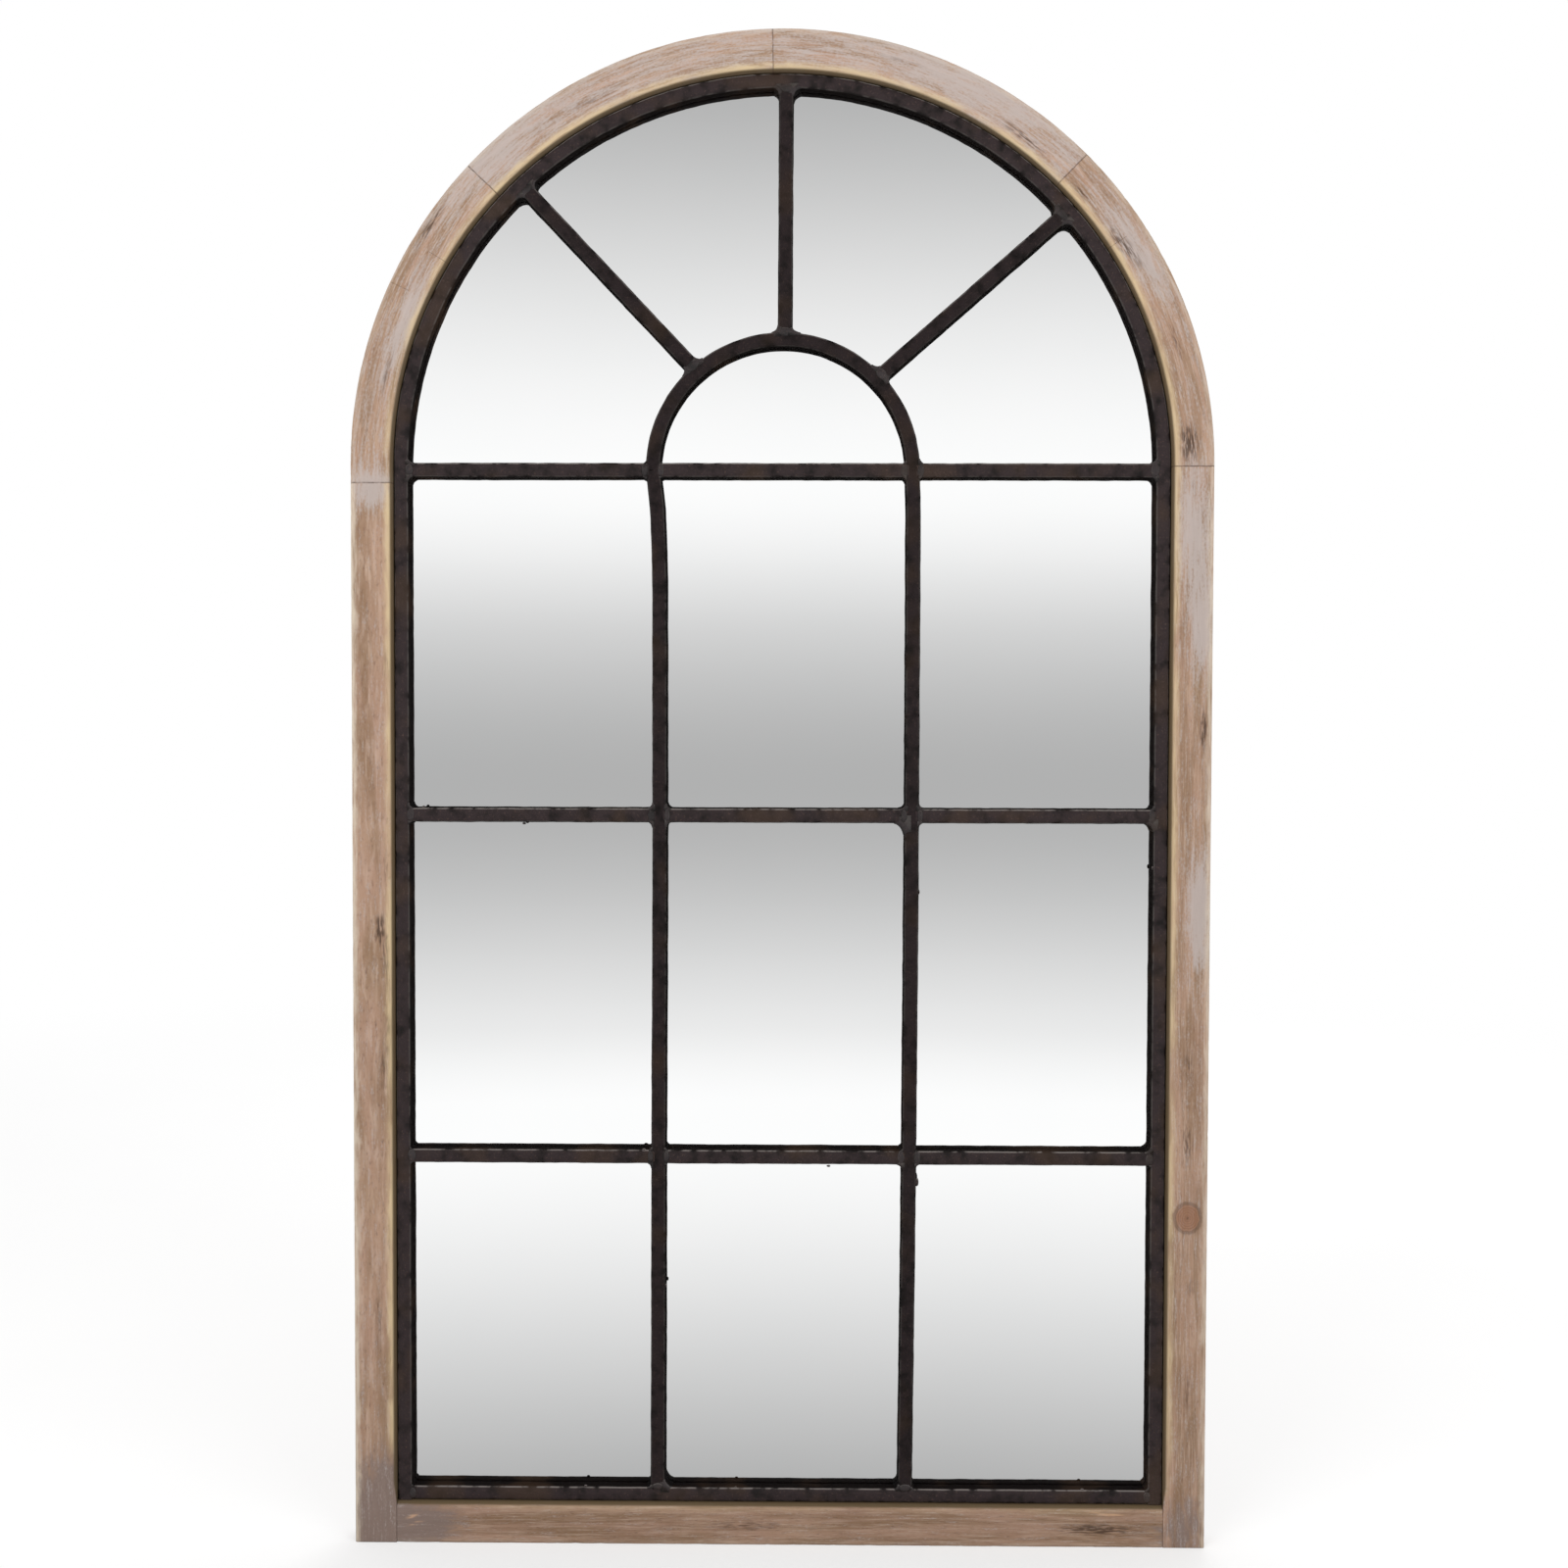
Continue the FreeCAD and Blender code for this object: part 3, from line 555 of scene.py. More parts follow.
def strength(marks, x, z):
    """How strongly a list of soft-edged marks covers a place on the front."""
    total = 0.0
    for mark_x, mark_z, half_length, half_width, lean, power in marks:
        turn = math.radians(lean)
        along = (x - mark_x) * math.cos(turn) + (z - mark_z) * math.sin(turn)
        aside = (z - mark_z) * math.cos(turn) - (x - mark_x) * math.sin(turn)
        total += power * math.exp(-((along / half_length) ** 2) - (aside / half_width) ** 2)
    return total


# %% Sweep the moulding, with lengths in mm
chord_share = 0.3        # how far the figure of a curved length keeps to its straight blank
wander_length = 14       # from one wander of the outer arris to the next
wander_depth = 0.9
nick_length = 5          # from one nick in the outer arris to the next
nick_depth = 2.2
eased = 0.9              # how much of each end is eased down at a joint
paint_depth = 8          # how far down the sides the stains reach


def plain_shape(place):
    """The round-over and the reach of both rebates, the same at every place."""
    return round_over, glass_lap, glass_lap + board_lap


def moulding(name, line, body_wash, rub_and_highlight, material, seed, shape_at=plain_shape):
    """One length of the surround, on a line of (outer point, inward direction, distance)."""
    points = []
    attributes = {"grain": [], "brush": [], "marks": [], "wear": [], "end_gap": []}
    first, last = line[0], line[-1]
    chord = (last[0] - first[0]).normalized()
    side = Vector((-chord.z, 0, chord.x))
    # The face lies a tenth of a millimetre low and uneven, and is eased at its ends.
    for place, inward, run in line:
        ends = min(run, last[2] - run)
        wander = noise.noise(Vector((run / wander_length, seed, 0))) * 0.5 + 0.5
        nick = max(0.0, noise.noise(Vector((run / nick_length, seed, 9))) - 0.25) * nick_depth
        inner, glass_cut, board_cut = shape_at(place)
        outline = section(inner, outer_arris + wander_depth * wander + nick, glass_cut, board_cut)
        for across, deep in outline:
            sink = 0.0
            if deep < 0.5 and across > 1:
                sink = 0.10 + 0.09 * noise.noise(Vector((run / 30, across / 3, seed)))
            if ends < eased and deep < 1.5:
                sink = max(sink, 0.5 * (1 - ends / eased))
            spot = place + inward * (across * MM)
            points.append(Vector((spot.x, front_y + (deep + sink) * MM, spot.z)))
            x, z = spot.x / MM, spot.z / MM
            along = (spot - first[0]).dot(chord) / MM
            aside = (spot - first[0]).dot(side) / MM
            attributes["grain"].append((
                run + (along - run) * chord_share, across + (aside - across) * chord_share, deep))
            attributes["brush"].append((run, across, deep))
            on_face = 1.0 if deep < paint_depth else 0.0
            wash = (body_wash + strength(washed_patches, x, z)) * on_face
            stain = strength(dark_stains, x, z) * on_face
            bare = strength(bare_spots, x, z) * on_face
            attributes["marks"].append((wash, stain, bare))
            fade = min(1.0, max(0.0, inner / round_over * 1.6 - 0.6))
            attributes["wear"].append((rub_and_highlight[0] * fade, strength(greyed_patches, x, z), rub_and_highlight[1]))
            attributes["end_gap"].append(ends)
    mesh = new_mesh(name, points, faces=sweep_faces(len(line), len(outline)))
    for key in ("grain", "brush", "marks", "wear"):
        layer = mesh.attributes.new(key, "FLOAT_VECTOR", "POINT")
        layer.data.foreach_set("vector", [value for row in attributes[key] for value in row])
    layer = mesh.attributes.new("end_gap", "FLOAT", "POINT")
    layer.data.foreach_set("value", attributes["end_gap"])
    look_outwards(mesh, merge=0.001 * MM)
    soften(mesh, 40)
    mesh.materials.append(material)
    return link_object(name, mesh)


# %% Lines that the mouldings follow
def stations(total):
    """Distances along a length: close together at its ends, 3 mm apart between."""
    near = [0.0, 0.3, 0.6, eased]
    between = total - 2 * eased
    count = round(between / 3)
    middle = [eased + between * index / count for index in range(1, count)]
    return near + middle + [total - step for step in reversed(near)]


def straight_line(start, end, inward, steps=()):
    """Stations from one outer corner to the other, and a close pair where the section steps."""
    total = (end - start).length / MM
    way = (end - start).normalized()
    runs = stations(total) + [step + side for step in steps for side in (-0.01, 0.01)]
    return [(start + way * (run * MM), inward, run) for run in sorted(runs)]


def arch_line(from_angle, to_angle, tail=0.0):
    """Stations round the arch, with a straight tail below the springline at 180 degrees."""
    curved = math.radians(to_angle - from_angle) * half_width / MM
    line = []
    for run in stations(curved + tail):
        turn = math.radians(from_angle) + min(run, curved) * MM / half_width
        out = Vector((math.cos(turn), 0, math.sin(turn)))
        below = max(0.0, run - curved) * MM
        line.append((Vector((0, 0, arch_z - below)) + out * half_width, -out, run))
    return line


glass_foot = face - glass_lap
board_foot = glass_foot - board_lap


def stile_shape(place):
    """Where the rail butts against a stile its round-over dies away and its rebates stop."""
    height = place.z / MM
    inner = min(round_over, max(0.3, (height - face + round_over) / 4))
    glass_cut = glass_lap if height > glass_foot else 0.0
    board_cut = glass_lap + board_lap if height > board_foot else 0.0
    return inner, glass_cut, board_cut


# %% The seven lengths of wood
arch_joints = (45.5, 91.3, 136.5)
left, right = Vector((-1, 0, 0)), Vector((1, 0, 0))
up = Vector((0, 0, 1))
tail = (arch_z - left_stile_top) / MM
left_foot = Vector((-half_width, 0, 0))
right_foot = Vector((half_width, 0, 0))
rebate_feet = (board_foot, glass_foot)
wood_lines = {
    "left_stile": straight_line(left_foot, left_foot + up * left_stile_top, right, rebate_feet),
    "right_stile": straight_line(right_foot, right_foot + up * arch_z, left, rebate_feet),
    "bottom_rail": straight_line(right * -opening_half, right * opening_half, up),
    "arch_right_lower": arch_line(0, arch_joints[0]),
    "arch_right_upper": arch_line(arch_joints[0], arch_joints[1]),
    "arch_left_upper": arch_line(arch_joints[1], arch_joints[2]),
    "arch_left_lower": arch_line(arch_joints[2], 180, tail),
}
# Wash, rubbing of the inner and the outer arris, and tone of each length.
wood_looks = {
    "left_stile": (0.10, (1.0, 0.95), 0.98),
    "right_stile": (0.16, (0.8, 0.70), 0.95),
    "bottom_rail": (0.04, (0.22, 0.15), 0.86),
    "arch_right_lower": (0.22, (0.9, 0.40), 0.97),
    "arch_right_upper": (0.52, (0.9, 0.30), 1.00),
    "arch_left_upper": (0.52, (1.0, 0.30), 1.00),
    "arch_left_lower": (0.30, (0.8, 0.25), 1.00),
}
# The middle and the radius of a knot, and where splits run: how far along the
# length, and from where to where across it.
knots = {"right_stile": (333.8, 273.7, 11.0)}
split_lines = {"arch_left_lower": ((113, 0, 17), (76, 17, 34)), "arch_right_lower": ((205, 17, 34),)}
for index, (name, line) in enumerate(wood_lines.items()):
    seed = 3.7 + 11.3 * index
    body_wash, rub_and_highlight, tone = wood_looks[name]
    finish = weathered_pine(
        "weathered_pine_" + name, seed, tone, knots.get(name), split_lines.get(name, ()))
    shape_at = stile_shape if name.endswith("stile") else plain_shape
    piece = moulding(name + "_wood", line, body_wash, rub_and_highlight, finish, seed, shape_at)
    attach(piece, "root")
    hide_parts(name)
    print(piece.name, len(piece.data.polygons), "faces")

# %% [markdown]
# ## Growing meshes with Geometry Nodes
# A tree of geometry nodes is a recipe with named inputs. The helper below runs a
# recipe on a base mesh and keeps only the plain mesh that comes out.

# %% Run a recipe
def new_recipe(name, inputs):
    """An empty geometry tree with named inputs, and the sockets that give them."""
    tree = bpy.data.node_groups.new(name, "GeometryNodeTree")
    tree.interface.new_socket(name="Geometry", in_out="INPUT", socket_type="NodeSocketGeometry")
    for label, kind in inputs.items():
        tree.interface.new_socket(name=label, in_out="INPUT", socket_type="NodeSocket" + kind)
    tree.interface.new_socket(name="Geometry", in_out="OUTPUT", socket_type="NodeSocketGeometry")
    return tree, node(tree, "NodeGroupInput").outputs


def grown(name, base, tree, values):
    """The plain object that a recipe makes from a base mesh."""
    holder = link_object(name + "_base", base)
    modifier = holder.modifiers.new("recipe", "NODES")
    modifier.node_group = tree
    for item in tree.interface.items_tree:
        if item.in_out == "INPUT" and item.name in values:
            modifier[item.identifier] = values[item.name]
    graph = bpy.context.evaluated_depsgraph_get()
    mesh = bpy.data.meshes.new_from_object(holder.evaluated_get(graph), depsgraph=graph)
    bpy.data.objects.remove(holder)
    mesh.name = name
    return link_object(name, mesh)


def dented(tree, geometry, level, reach):
    """Move the skin of a shape along its normals, by a level times a reach."""
    lift = {0: result(tree, "GeometryNodeInputNormal"), "Scale": shown(tree, [level], share=reach)}
    offset = result(tree, "ShaderNodeVectorMath", lift, operation="SCALE")
    return result(tree, "GeometryNodeSetPosition", {"Geometry": geometry, "Offset": offset})


def end_recipe(tree, geometry, finish, smooth=True):
    """Smooth, realise and paint the shape that a recipe has made."""
    if smooth:
        geometry = result(tree, "GeometryNodeSetShadeSmooth", {"Geometry": geometry})
    real = result(tree, "GeometryNodeRealizeInstances", {"Geometry": geometry})
    painted = result(tree, "GeometryNodeSetMaterial", {"Geometry": real, "Material": finish})
    node(tree, "NodeGroupOutput", {"Geometry": painted})
    return tree


def chain(name, points):
    """A base mesh of points joined by edges in order."""
    return new_mesh(name, points, edges=[(i, i + 1) for i in range(len(points) - 1)])


# %% [markdown]
# ## The bars
# Hot-rolled square bar has rounded corners, and hammering and grinding leave it
# slightly uneven. The recipe sweeps a rounded square along a path, kept square to
# the front, and lifts and lowers its skin with two sizes of noise.

# %% Recipe for a rounded bar
dent_sizes = (26, 7)     # of the bar's two sizes of unevenness, in mm
dent_middle = 1.15       # the two noises together, where the skin stays where it is


def bar_recipe():
    """Sweep a rounded square along the base mesh's chain of points."""
    tree, given = new_recipe("rounded_bar", {
        "Width": "Float", "Corner": "Float", "Step": "Float", "Dents": "Float", "Finish": "Material"})
    curve = result(tree, "GeometryNodeMeshToCurve", {"Mesh": given["Geometry"]})
    even = result(tree, "GeometryNodeResampleCurve", {
        "Curve": curve, "Length": given["Step"]}, mode="LENGTH")
    square_on = result(tree, "GeometryNodeSetCurveNormal", {
        "Curve": even, "Normal": (0, -1, 0)}, mode="FREE")
    square = result(tree, "GeometryNodeCurvePrimitiveQuadrilateral", {
        "Width": given["Width"], "Height": given["Width"]})
    corners = result(tree, "GeometryNodeFilletCurve", {
        "Curve": square, "Radius": given["Corner"], "Count": 4}, mode="POLY")
    swept = result(tree, "GeometryNodeCurveToMesh", {
        "Curve": square_on, "Profile Curve": corners, "Fill Caps": True})
    waves = [
        result(tree, "ShaderNodeTexNoise", {"Scale": per_size(size), "Detail": 1.0}) for size in dent_sizes]
    both = result(tree, "ShaderNodeMath", dict(enumerate(waves)), operation="ADD")
    level = result(tree, "ShaderNodeMath", {0: both, 1: dent_middle}, operation="SUBTRACT")
    return end_recipe(tree, dented(tree, swept, level, given["Dents"]), given["Finish"])


bars = bar_recipe()
bar_corner = 2.4 * MM
bar_step = 3.0 * MM
bar_dents = 0.55 * MM
tuck = 3.0 * MM          # how far an end runs on into the bar that it meets


def add_bar(name, points, finish=iron):
    """One bar of the grille, in place of its node."""
    piece = grown(name + "_bar", chain(name, points), bars, {
        "Width": bar, "Corner": bar_corner, "Step": bar_step, "Dents": bar_dents, "Finish": finish})
    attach(piece, "root")
    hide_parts(name)


# %% [markdown]
# The uprights and the small arch were bent by hand, so they wander a few
# millimetres from the drawing. Each upright has a short list of heights and
# shifts to the right; the bars and welds that meet it ask the same list.

# %% How the uprights lean
leans = {
    -1: [(46, 2.8), (140, 3.1), (401, 3.5), (466, 3.9), (571, 4.2), (788, 4.0), (820, 3.3),
         (852, 2.1), (883, -1.3)],
    1: [(46, 0.6), (141, 1.5), (223, 2.3), (345, 3.0), (467, 3.6), (572, 3.9), (748, 4.2),
        (852, 4.2), (883, 3.3)],
}
small_arch_centre = 1.0 * MM
small_arch_radius = upright_x + 2.3 * MM


def upright_at(side, z):
    """Middle of an upright at a height."""
    rows = leans[side]
    height = min(max(z / MM, rows[0][0]), rows[-1][0])
    for (low, first), (high, second) in zip(rows, rows[1:]):
        if height <= high:
            share = (height - low) / (high - low)
            return side * upright_x + (first + (second - first) * share) * MM


# %% Paths of the curved bars
def half_circle(middle, radius, height, count=96):
    """Points from right to left over the top."""
    points = []
    for index in range(count + 1):
        turn = math.pi * index / count
        x = middle + radius * math.cos(turn)
        points.append(Vector((x, grille_y, height + radius * math.sin(turn))))
    return points


hoop = [Vector((hoop_radius, grille_y, hoop_low.z))] + half_circle(0, hoop_radius, arch_z)
hoop.append(Vector((-hoop_radius, grille_y, hoop_low.z)))
add_bar("grille_hoop", hoop)
add_bar("inner_arch", half_circle(small_arch_centre, small_arch_radius, fan_z), dark_iron)

# %% Uprights, cross bars and the bottom bar
for side, name in ((-1, "left_upright"), (1, "right_upright")):
    low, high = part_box(name)
    heights = [low.z - tuck] + [z * MM for z, _ in leans[side][1:-1]] + [high.z]
    add_bar(name, [Vector((upright_at(side, z), grille_y, z)) for z in heights], dark_iron)

for name in sorted(frame["nodes"]):
    if not ("_cross_bar_" in name or name == "grille_bottom_bar"):
        continue
    low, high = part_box(name)
    z = (low.z + high.z) / 2
    start, end = low.x, high.x
    if name.endswith(("centre", "right")):
        start = upright_at(1 if name.endswith("right") else -1, z) + bar / 2
    if name.endswith(("centre", "left")):
        end = upright_at(-1 if name.endswith("left") else 1, z) - bar / 2
    add_bar(name, [Vector((start - tuck, grille_y, z)), Vector((end + tuck, grille_y, z))])

# %% [markdown]
# The spokes fan out from the small arch, but not from one point: each has one
# angle about the small arch where it starts and one about the hoop where it ends.

# %% Spokes
spoke_angles = {"right": (44.2, 41.7), "centre": (89.1, 89.4), "left": (131.0, 132.9)}
small_arch_middle = Vector((small_arch_centre, 0, fan_z))
hoop_middle = Vector((0, 0, arch_z))


def at_angle(middle, radius, angle):
    """Point of a circle on the front, at an angle up from +X in degrees."""
    turn = math.radians(angle)
    return middle + Vector((math.cos(turn), 0, math.sin(turn))) * radius


spokes = {}
for name, (foot_angle, tip_angle) in spoke_angles.items():
    foot = at_angle(small_arch_middle, small_arch_radius + bar / 2 - tuck, foot_angle)
    tip = at_angle(hoop_middle, hoop_radius - bar / 2 + tuck, tip_angle)
    spokes[name] = (foot, (tip - foot).normalized())
    forward = Vector((0, grille_y, 0))
    add_bar(name + "_spoke", [foot + forward, tip + forward], dark_iron)

# %% [markdown]
# ## The welds
# Every joint is welded and dressed by hand, so a hollow fillet of metal fills
# each inside corner, and a low lump lies over the seam on the front. One fillet
# and one lump are modelled. A recipe sets them on points that carry a turn and a
# size, and roughens the result so that no two are alike.

# %% One fillet and one lump
fillet_rows = [(-1.06, 0.42), (-0.98, 0.72), (-0.86, 0.92), (-0.5, 1.0), (0.2, 1.0), (1.0, 1.0)]


def fillet_mesh():
    """A hollow corner fillet between +X and +Z, one unit long in each leg, along Y."""
    points = []
    for deep, size in fillet_rows:
        points += [(-0.5, deep, -0.5), (size, deep, -0.5)]
        for turn in quarter_turns(8)[1:-1]:
            points.append((size * (1 - math.sin(turn)), deep, size * (1 - math.cos(turn))))
        points.append((-0.5, deep, size))
    ring = len(points) // len(fillet_rows)
    return look_outwards(new_mesh("fillet", points, faces=sweep_faces(len(fillet_rows), ring)))


def lump_mesh():
    """A ball of unit radius, to be flattened where it is set."""
    mesh = bpy.data.meshes.new("lump")
    work = bmesh.new()
    bmesh.ops.create_icosphere(work, subdivisions=3, radius=1.0)
    work.to_mesh(mesh)
    work.free()
    return mesh


# %% Recipe that sets a shape on points
def set_recipe():
    """Stand copies of one shape on points, turned and sized by their attributes."""
    tree, given = new_recipe("set_on_points", {
        "Shape": "Object", "Dents": "Float", "Dent Size": "Float", "Finish": "Material"})
    shape = node(tree, "GeometryNodeObjectInfo", {"Object": given["Shape"]}).outputs["Geometry"]
    turn, size = (
        node(tree, "GeometryNodeInputNamedAttribute", {"Name": key}, data_type="FLOAT_VECTOR")
        for key in ("turn", "size"))
    facing = result(tree, "FunctionNodeEulerToRotation", {"Euler": turn.outputs["Attribute"]})
    places = result(tree, "GeometryNodeMeshToPoints", {"Mesh": given["Geometry"]})
    copies = result(tree, "GeometryNodeInstanceOnPoints", {
        "Points": places, "Instance": shape, "Rotation": facing, "Scale": size.outputs["Attribute"]})
    real = result(tree, "GeometryNodeRealizeInstances", {"Geometry": copies})
    scale = result(tree, "ShaderNodeMath", {0: 1.0, 1: given["Dent Size"]}, operation="DIVIDE")
    wave = result(tree, "ShaderNodeTexNoise", {"Scale": scale, "Detail": 2.0})
    level = result(tree, "ShaderNodeMath", {0: wave, 1: 0.5}, operation="SUBTRACT")
    return end_recipe(tree, dented(tree, real, level, given["Dents"]), given["Finish"])


setting = set_recipe()
fillet_shape = link_object("fillet_shape", fillet_mesh())
lump_shape = link_object("lump_shape", lump_mesh())


def set_shapes(name, shape, places, dents, dent_size, finish=iron):
    """Copies of a shape on a list of (point, turn, size), with dents in mm."""
    mesh = new_mesh(name, [place[0] for place in places])
    for key, column in (("turn", 1), ("size", 2)):
        layer = mesh.attributes.new(key, "FLOAT_VECTOR", "POINT")
        layer.data.foreach_set("vector", [value for place in places for value in place[column]])
    return grown(name, mesh, setting, {
        "Shape": shape, "Dents": dents * MM, "Dent Size": dent_size * MM, "Finish": finish})


def joined(name, pieces):
    """One object out of several plain ones, all of weld metal."""
    work = bmesh.new()
    for piece in pieces:
        work.from_mesh(piece.data)
    for part in work.faces:
        part.material_index = 0
    mesh = bpy.data.meshes.new(name)
    work.to_mesh(mesh)
    work.free()
    mesh.materials.append(weld_iron)
    for piece in pieces:
        bpy.data.objects.remove(piece)
    return link_object(name, mesh)


# %% Where the welds are
rng = random.Random(17)
rows = []
for row in ("top", "middle", "lower"):
    low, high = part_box(row + "_cross_bar_centre")
    rows.append((low.z + high.z) / 2)
pane_foot = foot_bar_high.z
side_x = hoop_radius - bar / 2
front_of_grille = grille_y - bar / 2
weld_leg = 5.0 * MM
leg_spread = (0.72, 1.25)        # least and most of a fillet's leg, as shares of its size
fillet_depth = 0.96              # how deep a fillet reaches, as a share of the bar
fan_fillet = 1.3                 # size of the fillets round the spokes


def corner(x, z, angle, scale=1.0):
    """A fillet place whose first leg points at an angle up from +X, in degrees."""
    leg = weld_leg * scale * rng.uniform(*leg_spread)
    other = weld_leg * scale * rng.uniform(*leg_spread)
    size = (leg, bar / 2 * fillet_depth, other)
    return (Vector((x, grille_y, z)), (0, -math.radians(angle), 0), size)


def seam(x, z, angle, width, length):
    """A low lump over a seam on the front, its long side at an angle up from +X."""
    lean = -math.radians(angle)
    high = rng.uniform(0.9, 1.7) * MM
    wide = width * MM * rng.uniform(0.85, 1.15)
    place = Vector((x, front_of_grille + 0.45 * MM, z))
    return (place, (0, lean, 0), (length * MM * rng.uniform(0.85, 1.1), high, wide))


# Size of each fillet of a row, to the left and the right of each upright: first
# the one above the row, then the one below.
crossing_sizes = (
    (0.3, 0.5, 0.3, 0.4, 0.4, 0.5, 0.8, 0.4),
    (1.0, 0.9, 0.8, 0.9, 0.9, 2.3, 0.9, 0.8),
    (0.5, 0.9, 0.4, 0.5, 0.4, 0.9, 0.3, 0.6),
)
# For the left and the right side: the bottom corner, both sides of the foot of the
# upright, and above and below each row.
outer_sizes = {
    -1: (0.35, 0.6, 1.5, 0.9, 0.8, 0.9, 0.5, 0.3, 0.35),
    1: (0.5, 1.0, 0.4, 1.0, 0.9, 0.8, 1.6, 0.9, 0.4),
}
crossing_corners = []
crossing_seams = []
for z, sizes in zip(rows, crossing_sizes):
    size = iter(sizes)
    for side in (-1, 1):
        for way in (-1, 1):
            x = upright_at(side, z) + way * bar / 2
            crossing_corners.append(corner(x, z + bar / 2, 0 if way > 0 else 90, next(size)))
            crossing_corners.append(corner(x, z - bar / 2, 270 if way > 0 else 180, next(size)))
            crossing_seams.append(seam(x + way * 0.6 * MM, z, 90, 2.6, 5.4))

outer_corners = []
outer_seams = []
for side in (-1, 1):
    size = iter(outer_sizes[side])
    outer_corners.append(corner(side * side_x, pane_foot, 90 if side > 0 else 0, next(size)))
    outer_seams.append(seam(side * (side_x - 0.5 * MM), foot_bar_low.z + bar / 2, 90, 3.0, 5.2))
    for way in (-1, 1):
        x = upright_at(side, pane_foot) + way * bar / 2
        outer_corners.append(corner(x, pane_foot, 0 if way > 0 else 90, next(size)))
    outer_seams.append(seam(upright_at(side, pane_foot), pane_foot + 0.8 * MM, 0, 2.8, 5.2))
    for z in rows:
        outer_corners.append(corner(side * side_x, z + bar / 2, 90 if side > 0 else 0, next(size)))
        outer_corners.append(corner(side * side_x, z - bar / 2, 180 if side > 0 else 270, next(size)))
        outer_seams.append(seam(side * (side_x - 0.8 * MM), z, 90, 3.2, 5.6))

# %% Welds at the ends of the spokes
fan_corners = []
fan_seams = []


def meet(point, way, middle, radius):
    """Where a line from a point first leaves a circle, going along it."""
    off = point - middle
    along = off.dot(way)
    return point + way * (-along + math.sqrt(along ** 2 - off.length_squared + radius ** 2))


for foot, out in spokes.values():
    aside = Vector((-out.z, 0, out.x))
    angle = math.degrees(math.atan2(out.z, out.x))
    for way in (-1, 0, 1):
        start = foot + aside * (way * bar / 2)
        near = meet(start, out, small_arch_middle, small_arch_radius + bar / 2)
        far = meet(start, out, hoop_middle, side_x)
        if way == 0:
            fan_seams.append(seam(near.x, near.z, angle + 90, 3.6, 6.0))
            fan_seams.append(seam(far.x, far.z, angle + 90, 3.2, 5.6))
            continue
        fan_corners.append(corner(near.x, near.z, angle if way > 0 else angle - 90, fan_fillet))
        fan_corners.append(corner(far.x, far.z, angle + 90 if way > 0 else angle + 180, fan_fillet))

# %% Set the welds
weld_sets = {
    "crossing_welds": (crossing_corners, crossing_seams),
    "perimeter_welds": (outer_corners, outer_seams),
    "fan_welds": (fan_corners, fan_seams),
}
for name, (corners, seams) in weld_sets.items():
    fillets = set_shapes(name + "_fillets", fillet_shape, corners, dents=1.1, dent_size=4.0)
    lumps = set_shapes(name + "_lumps", lump_shape, seams, dents=1.3, dent_size=4.5)
    piece = joined(name + "_beads", [fillets, lumps])
    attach(piece, "root")
    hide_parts(name)
    print(piece.name, len(piece.data.polygons), "faces")

# %% [markdown]
# Welding also throws drops of metal. A few have stuck to the bars: they are the
# same lump, small, at given places.

# %% Spatter, as x, z, half width and half height in mm
drops = [
    (-111.5, 326.6, 2.0, 1.4), (112.6, 301, 1.5, 3.6), (-292.5, 608.2, 1.3, 1.3),
    (-160, 46.2, 1.5, 1.3), (113, 540, 0.9, 2.0), (-93.8, 214, 1.0, 1.6),
    (-36, 46.2, 1.4, 0.9), (250, 46.2, 1.6, 0.9), (40, 313.8, 1.6, 0.8),
    (-210, 595.2, 1.4, 0.9), (side_x / MM - 0.2, 560, 0.9, 1.8),
]
places = []
for x, z, wide, high in drops:
    size = [wide * MM, 1.6 * MM * rng.uniform(0.8, 1.2), high * MM]
    places.append((Vector((x * MM, grille_y - bar * 0.30, z * MM)), (0, 0, 0), size))
spatter = set_shapes("weld_spatter", lump_shape, places, dents=0.5, dent_size=1.5)
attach(spatter, "root")

# %% [markdown]
# ## Screws on the back
# The board and the hangers are held by pan-head screws with a cross recess. The
# head is a dome of rings, cut by two crossed blocks, and each copy is turned at
# random, as driven screws are.

# %% Recipe for a pan-head screw
crown_share = 0.62       # the flat top, as a share of the head's radius
recess_length = 1.15     # the recess, as shares of the head's radius
recess_width = 0.27
recess_depth = 1.5       # and of the head's height, for a block half above it


